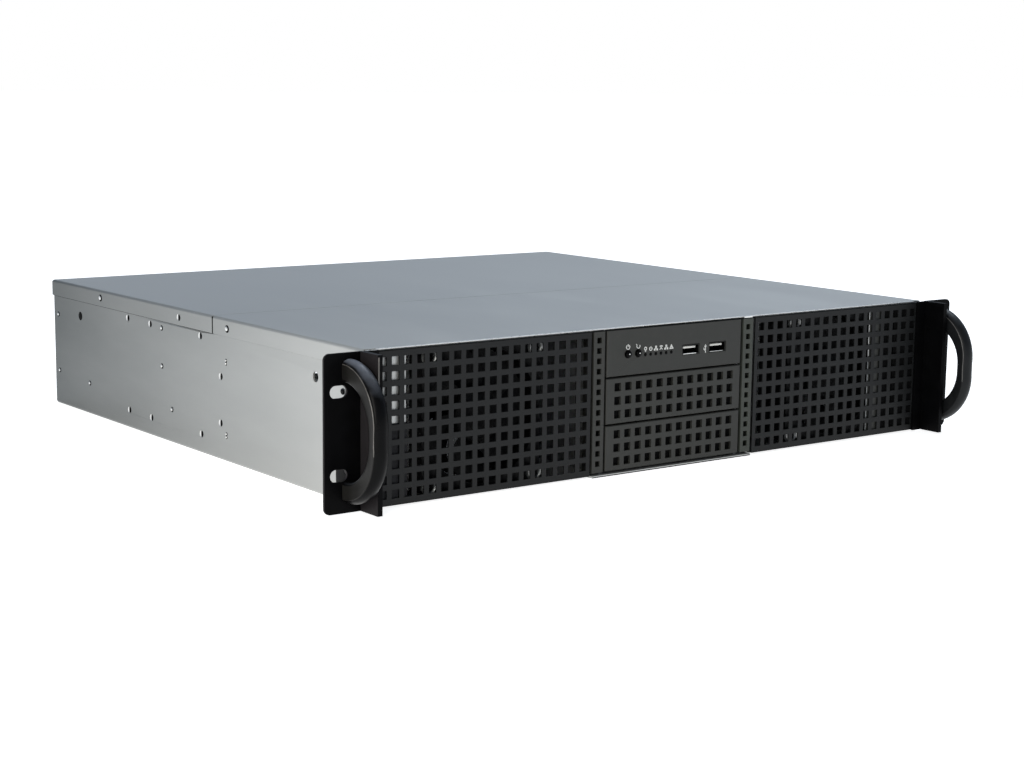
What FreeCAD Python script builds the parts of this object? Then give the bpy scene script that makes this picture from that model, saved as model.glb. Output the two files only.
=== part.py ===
import FreeCAD, Part
import math
import os

from FreeCAD import Placement, Rotation, Vector

# Empty two-unit server case for a 19-inch rack, short depth: a galvanised folded chassis under two
# screwed covers, with a black perforated front between rack ears that carry bow handles.
#
# Frame, in millimetres: the origin is the centre of the rack ears' front face, +X runs to the right
# seen from the front, +Y runs into the case and +Z runs up.

# ---- Overall sizes ----
RACK_WIDTH = 482.6  # across both ears
EAR_HEIGHT = 85.2
EAR_LIFT = 0.9  # from the case's underside up to the ears' lower edge
CASE_HEIGHT = 86.4  # from the underside to the top of the covers
CASE_DEPTH = 405.5  # from the ears' front face to the rear of the covers

# ---- Sheets and fits ----
SHEET = 1.2  # chassis, rear wall, drive cage, braces and brackets
COVER_SHEET = 0.8
FRONT_SHEET = 1.0  # grilles and trim strips
BEND = 1.0  # inside radius of the large folds
FIT = 0.3  # gap between neighbouring pieces that don't clamp each other

# ---- Covers ----
COVER_FLANGE = 10.7  # height of the covers' side and rear flanges
COVER_SETBACK = 3.5  # from the ears' front face to the front cover's edge
SEAM_Y = 170.0  # rear edge of the front cover
SEAM_GAP = 0.8

# ---- Rack ears and handles ----
EAR_WIDTH = 22.2  # plate outside the rib
EAR_SHEET = 1.5
EAR_CORNER = 3.5
RIB_DEPTH = 16.8  # forward rib beside each grille, folded double
LIP_WIDTH = 7.6  # inner lip that clamps the grille's edge
SLOT_INSET = 8.75  # from an ear's outer edge to the middle of its slots
SLOT_SPACING_Z = 44.45
SLOT_LENGTH = 10.5
SLOT_WIDTH = 6.8
HANDLE_WIDTH = 9.2
HANDLE_GAP = 2.1  # rib to the handle beside it
HANDLE_HEIGHT = 77.0
HANDLE_REACH = 32.6
HANDLE_THICKNESS = 7.6  # at the middle of the bow
HANDLE_FOOT = 12.0  # height of each foot on the ear
HANDLE_LIFT = 0.8  # handle's middle above the ears' middle
BOW_RADIUS = 32.0
GRIP_RADIUS = 24.0
HANDLE_BEVEL = 3.6

# ---- Grilles ----
HOLE = 4.8  # side of a square hole
PITCH = 8.0
GRILLE_GAP = 1.8  # between a trim strip and the grille beside it
GRILLE_MARGIN = 5.05  # inner edge to the middle of the first column
GRILLE_RIM = 3.0  # least width left above and below the holes
GRILLE_RETURN = 5.0  # depth of the folds under the cover and over the floor's edge

# ---- Centre stack: trim strips, control panel and bay covers ----
STACK_WIDTH = 104.8
STACK_DEPTH = 12.0
BAY_HEIGHT = 26.7
TIER_GAP = 1.0
FASCIA = 2.2  # front thickness of the moulded panels
MOULDING_WALL = 1.8
EDGE_BREAK = 0.4
BAY_COLUMNS = 12
BAY_ROWS = 3
STRIP_WIDTH = 8.1
STRIP_DEPTH = 9.5
STRIP_HOLE = 3.3
STRIP_PITCH = 6.0
STRIP_HOLES = 13

# ---- Control panel, with heights from its middle ----
BUTTON_Z = -1.2
POWER_X = -36.9
POWER_RADIUS = 2.1
RESET_X = -29.1
RESET_RADIUS = 1.9
BUTTON_PLAY = 0.08
BUTTON_PROUD = 0.9
BUTTON_TRAVEL = 0.8
BUTTON_STOP = 0.05  # left between a pressed button and its switch
COLLAR_WIDTH = 0.8
COLLAR_THICKNESS = 1.0
STEM_SIDE = 2.4
LED_FIRST_X = -23.6
LED_PITCH = 4.0
LED_COUNT = 6
LED_SIDE = 1.5
LED_Z = -2.5
LED_PLAY = 0.1
USB_X = (11.9, 33.2)
USB_Z = -2.0
USB_WIDTH = 13.1
USB_HEIGHT = 5.7
USB_SHELL = 0.4
USB_SETBACK = 0.4
TONGUE_WIDTH = 11.1
TONGUE_HEIGHT = 1.8
TONGUE_LIFT = 0.9
BOARD_WIDTH = 92.0
BOARD_HEIGHT = 20.0
BOARD_SHEET = 1.6
BOARD_Y = 10.0  # front face of the control board
POST_SIDE = 4.0
SWITCH_SIDE = 6.0
SWITCH_HEIGHT = 3.5

# ---- Fans and their brackets ----
FAN_SIDE = 80.0
FAN_DEPTH = 25.0
FAN_Y = 5.0  # front face
FAN_CORNER = 4.0
FAN_BORE = 76.0
BLADE_GAP = 0.8
BLADES = 5
BLADE_SHEET = 1.4
BLADE_CHORD = 24.0
BLADE_PITCH = 38.0  # degrees between a blade's chord and the fan's plane
ROTOR_HUB = 32.0  # across the flats
HUB_SIDES = 20
HUB_SETBACK = 2.0
SEAT_THICKNESS = 2.5
STRUTS = 4
STRUT_WIDTH = 4.5
BRACKET_FOOT = 12.0
WING_WIDTH = 8.0  # flange turned out beside the fan, facing the front
WING_Y = 17.3

# ---- Drive cage and cross brace ----
CAGE_Y = 4.0
CAGE_LENGTH = 136.0
CAGE_FLOOR_SETBACK = 8.0
LEDGE_WIDTH = 5.0
LEDGE_SETBACK = 16.0
BRACE_DEPTH = 20.0
BRACE_DROP = 9.0
BRACE_LEG_DEPTH = 30.0
BRACE_LEG_HEIGHT = 72.0

# ---- Chassis ----
FRONT_FLANGE = 25.4  # width of the flange folded in behind each grille
SEAL = 0.8  # space for a thin seal between a grille and its flange
TONGUE_PROUD = 0.6  # floor's middle tongue in front of the ears' face
RAIL_HOLES_Y = (187.5, 287.5)
RAIL_SPACING_Z = 60.0
RAIL_Z = -1.3  # middle of the two rows
RAIL_HOLE_RADIUS = 2.1
CABLE_HOLE_Y = 52.7
CABLE_HOLE_Z = 21.7
CABLE_HOLE_RADIUS = 2.9

# ---- Rear wall ----
ALCOVE_DEPTH = 12.0
ALCOVE_INSET = 5.8  # from the left side wall to the recess
PSU_INSET = 7.8  # from the right side wall to the power supply
PSU_SPACING = 8.0  # from the power supply to the recess
SHELF_BELOW_ROOF = 7.9
REAR_FLANGE = 12.0
IO_WIDTH = 158.75
IO_HEIGHT = 44.45
IO_INSET = 5.0  # from the recess's right end to the port opening
IO_ABOVE_FLOOR = 4.1
SLOTS = 7
SLOT_PITCH = 20.32
SLOT_OPENING = 12.7
SLOT_FOOT = 7.0  # floor to the lower end of a slot opening
SLOT_HEAD = 2.0  # shelf down to the upper end of a slot opening
FIRST_SLOT_OFFSET = 15.0  # from the port opening's edge to the middle of the first slot
VENTS = 14
VENT_WIDTH = 3.0
VENT_HEIGHT = 16.0
VENT_PITCH = 8.0
VENT_LIFT = 5.0  # above the port opening
SLOT_COVER_SHEET = 0.9
SLOT_COVER_WIDTH = 18.4
SLOT_COVER_TAB = 10.0
SLOT_NOTCH = 4.4
SLOT_NOTCH_DEPTH = 6.5
PSU_WIDTH = 100.0
PSU_HEIGHT = 70.0
PSU_RIM = 8.0
PSU_BRACKET_LENGTH = 160.0
PSU_BRACKET_HEIGHT = 50.0
PSU_BRACKET_FOOT = 12.0

# ---- Motherboard standoffs ----
STANDOFF_HEIGHT = 6.5
STANDOFF_FLATS = 5.5
BOARD_HOLES_X = (0.0, 124.46, 281.94)
BOARD_HOLES_Y = (0.0, 154.94, 227.33)
BOARD_HOLE_INSET = 15.2  # from the left side wall to the first column of standoffs
LAST_BOARD_HOLE_SETBACK = 10.2  # alcove wall to the rearmost row of standoffs

# ---- Places worked out from the sizes above ----
UNDERSIDE = -EAR_HEIGHT / 2 - EAR_LIFT
TOP = UNDERSIDE + CASE_HEIGHT
FLOOR = UNDERSIDE + SHEET
ROOF = TOP - COVER_SHEET
MIDDLE_Z = (FLOOR + ROOF) / 2
WALL_HEAD = ROOF - BEND
RIB_OUTER = RACK_WIDTH / 2 - EAR_WIDTH
RIB_INNER = RIB_OUTER - 2 * EAR_SHEET
LIP_EDGE = RIB_INNER - LIP_WIDTH
HALF_BODY = RIB_INNER - FIT - COVER_SHEET  # middle of the case to a side wall's outside
HALF_INSIDE = HALF_BODY - SHEET
REAR_Y = CASE_DEPTH - COVER_SHEET
CAGE_INNER = STACK_WIDTH / 2 + FIT
STRIP_INNER = CAGE_INNER + SHEET + FIT
STRIP_OUTER = STRIP_INNER + STRIP_WIDTH
GRILLE_INNER = STRIP_OUTER + GRILLE_GAP
FIRST_COLUMN = GRILLE_INNER + GRILLE_MARGIN
COLUMNS = int((LIP_EDGE - HOLE / 2 - FIRST_COLUMN) // PITCH) + 1
ROWS = int((ROOF - FLOOR - 2 * GRILLE_RIM - HOLE) // PITCH) + 1
STACK_FOOT = FLOOR + SHEET + FIT
STACK_HEAD = ROOF - FIT
LOWER_BAY = (STACK_FOOT, STACK_FOOT + BAY_HEIGHT)
UPPER_BAY = (LOWER_BAY[1] + TIER_GAP, LOWER_BAY[1] + TIER_GAP + BAY_HEIGHT)
PANEL = (UPPER_BAY[1] + TIER_GAP, STACK_HEAD)
PANEL_Z = (PANEL[0] + PANEL[1]) / 2
SWITCH_FACE = BOARD_Y - SWITCH_HEIGHT
FAN_X = FIRST_COLUMN + PITCH * (COLUMNS - 1) / 2
FAN_BACK = FAN_Y + FAN_DEPTH
ALCOVE_Y = REAR_Y - ALCOVE_DEPTH
SHELF_Z = ROOF - SHELF_BELOW_ROOF
PSU_X = HALF_INSIDE - PSU_INSET - PSU_WIDTH / 2
ALCOVE_LEFT = ALCOVE_INSET - HALF_INSIDE
ALCOVE_RIGHT = PSU_X - PSU_WIDTH / 2 - PSU_SPACING
IO_RIGHT = ALCOVE_RIGHT - IO_INSET
IO_FOOT = FLOOR + IO_ABOVE_FLOOR


# ---- Helpers ----
def spread(middle, size):
    """Low and high value of a size about its middle."""
    return (middle - size / 2, middle + size / 2)


def row(count, pitch, middle=0.0):
    """Evenly spaced places about a middle."""
    return [middle + pitch * (i - (count - 1) / 2) for i in range(count)]


def box(x, y, z):
    """A block between the low and high value of each axis."""
    return Part.makeBox(x[1] - x[0], y[1] - y[0], z[1] - z[0], Vector(x[0], y[0], z[0]))


def rod_x(radius, x, y, z):
    return Part.makeCylinder(radius, x[1] - x[0], Vector(x[0], y, z), Vector(1, 0, 0))


def rod_y(radius, x, y, z):
    return Part.makeCylinder(radius, y[1] - y[0], Vector(x, y[0], z), Vector(0, 1, 0))


def fused(first, *others):
    return first.fuse(list(others)).removeSplitter()


def pierced(shape, tools):
    return shape.cut(Part.makeCompound(tools))


def mirrored(shape):
    """The same piece on the other side of the case."""
    return shape.mirror(Vector(0, 0, 0), Vector(1, 0, 0))


def rounded_face(corners):
    """A flat face in the XY plane from its corners (u, v) or, where one is rounded, (u, v, radius)."""
    points = [Vector(u, v, 0) for u, v, *_ in corners]
    arcs = []
    for i, (_, _, *rounding) in enumerate(corners):
        corner = points[i]
        back = (points[i - 1] - corner).normalize()
        onward = (points[(i + 1) % len(points)] - corner).normalize()
        radius = rounding[0] if rounding else 0.0
        half = back.getAngle(onward) / 2
        run = radius / math.tan(half)
        middle = corner + (back + onward).normalize() * (radius / math.sin(half) - radius)
        arcs.append((corner + back * run, middle, corner + onward * run, radius > 0))
    edges = []
    for i, (enter, middle, leave, is_round) in enumerate(arcs):
        if is_round:
            edges.append(Part.Arc(enter, middle, leave).toShape())
        following = arcs[(i + 1) % len(arcs)][0]
        if (following - leave).Length > 1e-6:
            edges.append(Part.LineSegment(leave, following).toShape())
    return Part.Face(Part.Wire(edges))


def drawn_out(face, plane, span):
    """A face from the XY plane, stood up in the named plane and drawn out along the third axis."""
    turn, along = {
        "XY": (Rotation(), Vector(0, 0, 1)),
        "XZ": (Rotation(Vector(1, 0, 0), 90), Vector(0, 1, 0)),
        "YZ": (Rotation(Vector(1, 1, 1), 120), Vector(1, 0, 0)),
    }[plane]
    face.Placement = Placement(along * span[0], turn)
    return face.extrude(along * (span[1] - span[0]))


def folded(corners, sheet, plane, span, bend=BEND):
    """A folded sheet, from the corners of its section's middle line and the stretch it's drawn over.

    A bend of None leaves the folds sharp.
    """
    path = [Vector(u, v, 0) for u, v in corners]
    runs = [(after - before).normalize() for before, after in zip(path, path[1:])]
    runs = runs[:1] + runs + runs[-1:]
    left, right = [], []
    for i, corner in enumerate(path):
        before, after = (Vector(-run.y, run.x, 0) for run in runs[i : i + 2])
        shift = (before + after) * (sheet / 2 / (1 + before.dot(after)))
        turn = runs[i].x * runs[i + 1].y - runs[i].y * runs[i + 1].x
        is_round = bend is not None and abs(turn) > 1e-6
        outer, inner = (bend + sheet, bend) if is_round else (0.0, 0.0)
        left.append((corner.x + shift.x, corner.y + shift.y, inner if turn > 0 else outer))
        right.append((corner.x - shift.x, corner.y - shift.y, outer if turn > 0 else inner))
    return drawn_out(rounded_face(left + right[::-1]), plane, span)


def obround(length, width, x, y, z):
    """A slot's cutter, lying along X and running through along Y."""
    ends = [rod_y(width / 2, place, y, z) for place in spread(x, length - width)]
    return fused(box(spread(x, length - width), y, spread(z, width)), *ends)


def regular_face(sides, flats, x, y, start=0.0):
    """A regular polygon by its width across flats, with a corner at the start angle."""
    reach = flats / 2 / math.cos(math.pi / sides)
    angles = [start + 2 * math.pi * i / sides for i in range(sides)]
    return rounded_face([(x + reach * math.cos(a), y + reach * math.sin(a)) for a in angles])


def square_holes(side, places_x, places_z, y):
    return [box(spread(x, side), y, spread(z, side)) for x in places_x for z in places_z]


# ---- Chassis and covers ----
def chassis_tray():
    wall = HALF_BODY - SHEET / 2
    base = FLOOR - SHEET / 2
    section = [(-wall, WALL_HEAD), (-wall, base), (wall, base), (wall, WALL_HEAD)]
    tray = folded(section, SHEET, "XZ", (GRILLE_RETURN, REAR_Y))
    flange_y = FRONT_SHEET + SEAL + SHEET / 2
    flange = [(HALF_BODY - FRONT_FLANGE, flange_y), (wall, flange_y), (wall, 2 * GRILLE_RETURN)]
    height = (FLOOR + FRONT_SHEET, ROOF - FRONT_SHEET)
    corner = folded(flange, SHEET, "XY", height, bend=None)
    tongue_half = STRIP_OUTER + FIT
    tongue_y = (-TONGUE_PROUD, 2 * GRILLE_RETURN)
    tongue = box((-tongue_half, tongue_half), tongue_y, (UNDERSIDE, FLOOR))
    tray = fused(tray, corner, mirrored(corner), tongue)
    through = (-HALF_BODY - 1, HALF_BODY + 1)
    rows_z = spread(RAIL_Z, RAIL_SPACING_Z)
    holes = [rod_x(RAIL_HOLE_RADIUS, through, y, z) for y in RAIL_HOLES_Y for z in rows_z]
    holes.append(rod_x(CABLE_HOLE_RADIUS, (through[0], 0), CABLE_HOLE_Y, CABLE_HOLE_Z))
    return pierced(tray, holes)


def cover(y):
    """A top sheet with a flange folded down outside each side wall."""
    side = HALF_BODY + COVER_SHEET / 2
    top = TOP - COVER_SHEET / 2
    edge = TOP - COVER_FLANGE
    section = [(-side, edge), (-side, top), (side, top), (side, edge)]
    return folded(section, COVER_SHEET, "XZ", y)


def rear_cover():
    """Cover with a rear flange as well, its three flanges rounded over at the rear corners."""
    front = SEAM_Y + SEAM_GAP
    outline = rounded_face([
        (front, TOP - COVER_FLANGE),
        (CASE_DEPTH, TOP - COVER_FLANGE),
        (CASE_DEPTH, TOP, BEND + COVER_SHEET),
        (front, TOP),
    ])
    width = (-HALF_BODY - COVER_SHEET, HALF_BODY + COVER_SHEET)
    sheet = cover((front, CASE_DEPTH)).common(drawn_out(outline, "YZ", width))
    top = TOP - COVER_SHEET / 2
    back = CASE_DEPTH - COVER_SHEET / 2
    inside = HALF_BODY - BEND
    fold = [(front, top), (back, top), (back, TOP - COVER_FLANGE)]
    return fused(sheet, folded(fold, COVER_SHEET, "YZ", (-inside, inside)))


def cross_brace():
    """Channel under the covers' seam, with a leg down each side wall."""
    y = spread(SEAM_Y + SEAM_GAP / 2, BRACE_DEPTH - SHEET)
    top = ROOF - SHEET / 2
    section = [(y[0], ROOF - BRACE_DROP), (y[0], top), (y[1], top), (y[1], ROOF - BRACE_DROP)]
    channel = folded(section, SHEET, "YZ", (-HALF_INSIDE, HALF_INSIDE), bend=None)
    leg_y = (y[1] - BRACE_LEG_DEPTH, y[1])
    leg = box((HALF_INSIDE - SHEET, HALF_INSIDE), leg_y, (WALL_HEAD - BRACE_LEG_HEIGHT, WALL_HEAD))
    return fused(channel, leg, mirrored(leg))


# ---- Rear ----
def slot_places():
    first = IO_RIGHT - IO_WIDTH - FIRST_SLOT_OFFSET
    return [first - SLOT_PITCH * i for i in range(SLOTS)]


def rear_wall():
    """Rear wall with the recess for ports and expansion slots, and the power supply's opening."""
    inner_y = REAR_Y - REAR_FLANGE
    plane_y = REAR_Y - SHEET / 2
    z = (FLOOR + SHEET / 2, WALL_HEAD - SHEET / 2)
    section = [(inner_y, z[0]), (plane_y, z[0]), (plane_y, z[1]), (inner_y, z[1])]
    wall = folded(section, SHEET, "YZ", (-HALF_INSIDE, HALF_INSIDE), bend=None)
    alcove_x = (ALCOVE_LEFT, ALCOVE_RIGHT)
    outer_x = (ALCOVE_LEFT - SHEET, ALCOVE_RIGHT + SHEET)
    wall = wall.cut(box(outer_x, (0, CASE_DEPTH), (UNDERSIDE, SHELF_Z)))
    wall = wall.cut(box(outer_x, (0, REAR_Y - SHEET), (SHELF_Z, TOP)))
    pan = box(outer_x, (ALCOVE_Y, REAR_Y), (FLOOR, SHELF_Z + SHEET))
    pan = pan.cut(box(alcove_x, (ALCOVE_Y + SHEET, CASE_DEPTH), (FLOOR + SHEET, SHELF_Z)))
    flange = box((HALF_INSIDE - SHEET, HALF_INSIDE), (inner_y, REAR_Y), (FLOOR, WALL_HEAD))
    wall = fused(wall, pan, flange, mirrored(flange))
    corner = box((HALF_INSIDE - BEND, HALF_INSIDE), (inner_y, REAR_Y), (FLOOR, FLOOR + BEND))
    wall = wall.cut(corner).cut(mirrored(corner))
    through = (ALCOVE_Y - 1, REAR_Y + 1)
    io = box((IO_RIGHT - IO_WIDTH, IO_RIGHT), through, (IO_FOOT, IO_FOOT + IO_HEIGHT))
    slot_z = (FLOOR + SLOT_FOOT, SHELF_Z - SLOT_HEAD)
    slots = [box(spread(x, SLOT_OPENING), through, slot_z) for x in slot_places()]
    vent_foot = IO_FOOT + IO_HEIGHT + VENT_LIFT
    vent_z = (vent_foot, vent_foot + VENT_HEIGHT)
    vents_x = row(VENTS, VENT_PITCH, IO_RIGHT - IO_WIDTH / 2)
    vents = [box(spread(x, VENT_WIDTH), through, vent_z) for x in vents_x]
    psu_x = spread(PSU_X, PSU_WIDTH - 2 * PSU_RIM)
    psu = box(psu_x, through, (FLOOR + PSU_RIM, FLOOR + PSU_HEIGHT - PSU_RIM))
    return pierced(wall, [io, psu] + slots + vents)


def slot_covers():
    """Blanking plates behind the expansion slots, hooked over the recess's shelf."""
    covers = []
    plate_y = ALCOVE_Y - SLOT_COVER_SHEET / 2
    tab_z = SHELF_Z + SHEET + SLOT_COVER_SHEET / 2
    tab_end = ALCOVE_Y + SLOT_COVER_TAB
    section = [(plate_y, FLOOR + FIT), (plate_y, tab_z), (tab_end, tab_z)]
    for x in slot_places():
        width = spread(x, SLOT_COVER_WIDTH)
        plate = folded(section, SLOT_COVER_SHEET, "YZ", width, bend=None)
        notch_y = (tab_end - SLOT_NOTCH_DEPTH, tab_end + 1)
        notch = box(spread(x, SLOT_NOTCH), notch_y, (SHELF_Z, TOP))
        covers.append(plate.cut(notch))
    return covers


def psu_bracket():
    """Angle on the floor beside the power supply's bay."""
    x = PSU_X - PSU_WIDTH / 2 - FIT - SHEET / 2
    base = FLOOR + SHEET / 2
    section = [(x - PSU_BRACKET_FOOT, base), (x, base), (x, FLOOR + PSU_BRACKET_HEIGHT)]
    rear = ALCOVE_Y - FIT
    return folded(section, SHEET, "XZ", (rear - PSU_BRACKET_LENGTH, rear), bend=None)


def standoffs():
    posts = []
    first = BOARD_HOLE_INSET - HALF_INSIDE
    rear = ALCOVE_Y - LAST_BOARD_HOLE_SETBACK
    z = (FLOOR, FLOOR + STANDOFF_HEIGHT)
    for x in BOARD_HOLES_X:
        for y in BOARD_HOLES_Y:
            hexagon = regular_face(6, STANDOFF_FLATS, first + x, rear - y)
            posts.append(drawn_out(hexagon, "XY", z))
    return posts


# ---- Rack ears and handles ----
def right_ear():
    """Plate, double forward rib and inner lip, folded from one sheet."""
    half_rack = RACK_WIDTH / 2
    fold = RIB_INNER + EAR_SHEET
    section = rounded_face([
        (LIP_EDGE, 0),
        (LIP_EDGE, -EAR_SHEET),
        (RIB_INNER, -EAR_SHEET),
        (RIB_INNER, -RIB_DEPTH),
        (RIB_OUTER, -RIB_DEPTH),
        (RIB_OUTER, 0),
        (half_rack, 0),
        (half_rack, EAR_SHEET),
        (fold, EAR_SHEET),
        (fold, 0),
    ])
    z = spread(0, EAR_HEIGHT)
    ear = drawn_out(section, "XY", z)
    plan = rounded_face([
        (LIP_EDGE, z[0]),
        (half_rack, z[0], EAR_CORNER),
        (half_rack, z[1], EAR_CORNER),
        (LIP_EDGE, z[1]),
    ])
    ear = ear.common(drawn_out(plan, "XZ", (-RIB_DEPTH, EAR_SHEET)))
    through = (-1, EAR_SHEET + 1)
    slots = [
        obround(SLOT_LENGTH, SLOT_WIDTH, half_rack - SLOT_INSET, through, z)
        for z in spread(0, SLOT_SPACING_Z)
    ]
    return pierced(ear, slots)


def right_handle():
    """Bow handle, flat inside and bevelled outside."""
    side = RIB_OUTER + HANDLE_GAP
    x = (side, side + HANDLE_WIDTH)
    outer = spread(HANDLE_LIFT, HANDLE_HEIGHT)
    inner = spread(HANDLE_LIFT, HANDLE_HEIGHT - 2 * HANDLE_FOOT)
    grip = HANDLE_THICKNESS - HANDLE_REACH
    bow = rounded_face([
        (0, outer[0]),
        (-HANDLE_REACH, outer[0], BOW_RADIUS),
        (-HANDLE_REACH, outer[1], BOW_RADIUS),
        (0, outer[1]),
        (0, inner[1]),
        (grip, inner[1], GRIP_RADIUS),
        (grip, inner[0], GRIP_RADIUS),
        (0, inner[0]),
    ])
    handle = drawn_out(bow, "YZ", x)
    crown = [edge for edge in handle.Edges if is_crown(edge, x, outer)]
    return handle.makeChamfer(HANDLE_BEVEL, crown)


def is_crown(edge, x, z):
    """True for the long edges round the outside of a handle's bow."""
    place = edge.valueAt((edge.FirstParameter + edge.LastParameter) / 2)
    flat = abs(edge.firstVertex().Point.x - edge.lastVertex().Point.x) < 1e-6
    inner_z = (z[0] + HANDLE_FOOT, z[1] - HANDLE_FOOT)
    beside_grip = place.y > HANDLE_THICKNESS - HANDLE_REACH - 1e-6
    inside = beside_grip and inner_z[0] - 1e-6 < place.z < inner_z[1] + 1e-6
    return flat and place.y < -1e-6 and not inside


# ---- Grilles and trim strips ----
def right_grille():
    """Perforated sheet, folded back under the cover and up to the chassis floor's edge."""
    plane = FRONT_SHEET / 2
    back = GRILLE_RETURN - FIT
    section = [(back, ROOF - plane), (plane, ROOF - plane), (plane, FLOOR + plane), (back, FLOOR + plane)]
    sheet = folded(section, FRONT_SHEET, "YZ", (GRILLE_INNER, HALF_BODY), bend=None)
    columns = [FIRST_COLUMN + PITCH * i for i in range(COLUMNS)]
    rows = row(ROWS, PITCH, MIDDLE_Z)
    return pierced(sheet, square_holes(HOLE, columns, rows, (-1, 2 * FRONT_SHEET)))


def right_trim_strip():
    """Narrow perforated channel between the drive bays and the grille."""
    x = (STRIP_INNER + FRONT_SHEET / 2, STRIP_OUTER - FRONT_SHEET / 2)
    y = FRONT_SHEET / 2
    section = [(x[0], STRIP_DEPTH), (x[0], y), (x[1], y), (x[1], STRIP_DEPTH)]
    z = (STACK_FOOT, STACK_HEAD)
    strip = folded(section, FRONT_SHEET, "XY", z, bend=None)
    middle_x = (STRIP_INNER + STRIP_OUTER) / 2
    rows = row(STRIP_HOLES, STRIP_PITCH, (z[0] + z[1]) / 2)
    return pierced(strip, square_holes(STRIP_HOLE, [middle_x], rows, (-1, 2 * FRONT_SHEET)))


# ---- Centre stack ----
def moulding(z):
    """An open-backed moulded front with broken front edges."""
    block = box(spread(0, STACK_WIDTH), (0, STACK_DEPTH), z)
    front = [edge for edge in block.Edges if edge.BoundBox.YMax < 1e-6]
    block = block.makeChamfer(EDGE_BREAK, front)
    hollow_z = (z[0] + MOULDING_WALL, z[1] - MOULDING_WALL)
    hollow_x = spread(0, STACK_WIDTH - 2 * MOULDING_WALL)
    return block.cut(box(hollow_x, (FASCIA, STACK_DEPTH + 1), hollow_z))


def bay_cover(z):
    columns = row(BAY_COLUMNS, PITCH)
    rows = row(BAY_ROWS, PITCH, (z[0] + z[1]) / 2)
    return pierced(moulding(z), square_holes(HOLE, columns, rows, (-1, FASCIA + 1)))


def led_places():
    return [LED_FIRST_X + LED_PITCH * i for i in range(LED_COUNT)]


def control_panel():
    """Moulded panel with posts for its board, bores for the buttons and windows for lamps and ports."""
    posts = []
    for x in spread(0, BOARD_WIDTH - POST_SIDE):
        for z in spread(PANEL_Z, BOARD_HEIGHT - POST_SIDE):
            posts.append(box(spread(x, POST_SIDE), (FASCIA / 2, BOARD_Y), spread(z, POST_SIDE)))
    panel = fused(moulding(PANEL), *posts)
    through = (-1, FASCIA + 1)
    tools = [
        rod_y(POWER_RADIUS + BUTTON_PLAY, POWER_X, through, PANEL_Z + BUTTON_Z),
        rod_y(RESET_RADIUS + BUTTON_PLAY, RESET_X, through, PANEL_Z + BUTTON_Z),
    ]
    tools += square_holes(LED_SIDE + 2 * LED_PLAY, led_places(), [PANEL_Z + LED_Z], through)
    usb_z = spread(PANEL_Z + USB_Z, USB_HEIGHT + 2 * FIT)
    tools += [box(spread(x, USB_WIDTH + 2 * FIT), through, usb_z) for x in USB_X]
    return pierced(panel, tools)


def button(x, radius):
    """Round key with a square collar behind the panel and a stem towards its switch."""
    z = PANEL_Z + BUTTON_Z
    key = rod_y(radius, x, (-BUTTON_PROUD, FASCIA), z)
    collar_side = 2 * (radius + COLLAR_WIDTH)
    collar_y = (FASCIA, FASCIA + COLLAR_THICKNESS)
    collar = box(spread(x, collar_side), collar_y, spread(z, collar_side))
    stem_end = SWITCH_FACE - BUTTON_TRAVEL - BUTTON_STOP
    stem = box(spread(x, STEM_SIDE), (collar_y[1], stem_end), spread(z, STEM_SIDE))
    return fused(key, collar, stem)


def tact_switches():
    z = spread(PANEL_Z + BUTTON_Z, SWITCH_SIDE)
    places = (POWER_X, RESET_X)
    return [box(spread(x, SWITCH_SIDE), (SWITCH_FACE, BOARD_Y), z) for x in places]


def status_lights():
    z = spread(PANEL_Z + LED_Z, LED_SIDE)
    return [box(spread(x, LED_SIDE), (0, BOARD_Y), z) for x in led_places()]


def usb_shells():
    shells = []
    middle = PANEL_Z + USB_Z
    for x in USB_X:
        outer = box(spread(x, USB_WIDTH), (USB_SETBACK, BOARD_Y), spread(middle, USB_HEIGHT))
        inner_x = spread(x, USB_WIDTH - 2 * USB_SHELL)
        inner_z = spread(middle, USB_HEIGHT - 2 * USB_SHELL)
        shells.append(outer.cut(box(inner_x, (-1, BOARD_Y - USB_SHELL), inner_z)))
    return shells


def usb_tongues():
    y = (2 * USB_SETBACK, BOARD_Y - USB_SHELL)
    z = spread(PANEL_Z + USB_Z + TONGUE_LIFT, TONGUE_HEIGHT)
    return [box(spread(x, TONGUE_WIDTH), y, z) for x in USB_X]


def control_board():
    y = (BOARD_Y, BOARD_Y + BOARD_SHEET)
    return box(spread(0, BOARD_WIDTH), y, spread(PANEL_Z, BOARD_HEIGHT))


def drive_cage():
    """Two drive bays, one above the other, with a ledge along each side of the upper one."""
    wall = CAGE_INNER + SHEET / 2
    base = FLOOR + SHEET / 2
    end = CAGE_Y + CAGE_LENGTH
    section = [(-wall, STACK_HEAD), (-wall, base), (wall, base), (wall, STACK_HEAD)]
    cage = folded(section, SHEET, "XZ", (CAGE_Y, end), bend=None)
    floor_y = (0, CAGE_Y + CAGE_FLOOR_SETBACK)
    cage = cage.cut(box((-CAGE_INNER, CAGE_INNER), floor_y, (UNDERSIDE, STACK_FOOT)))
    ledge_z = spread(LOWER_BAY[1] + TIER_GAP / 2, SHEET)
    ledge_x = (CAGE_INNER - LEDGE_WIDTH, CAGE_INNER + SHEET / 2)
    ledge = box(ledge_x, (CAGE_Y + LEDGE_SETBACK, end), ledge_z)
    return fused(cage, ledge, mirrored(ledge))


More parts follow.
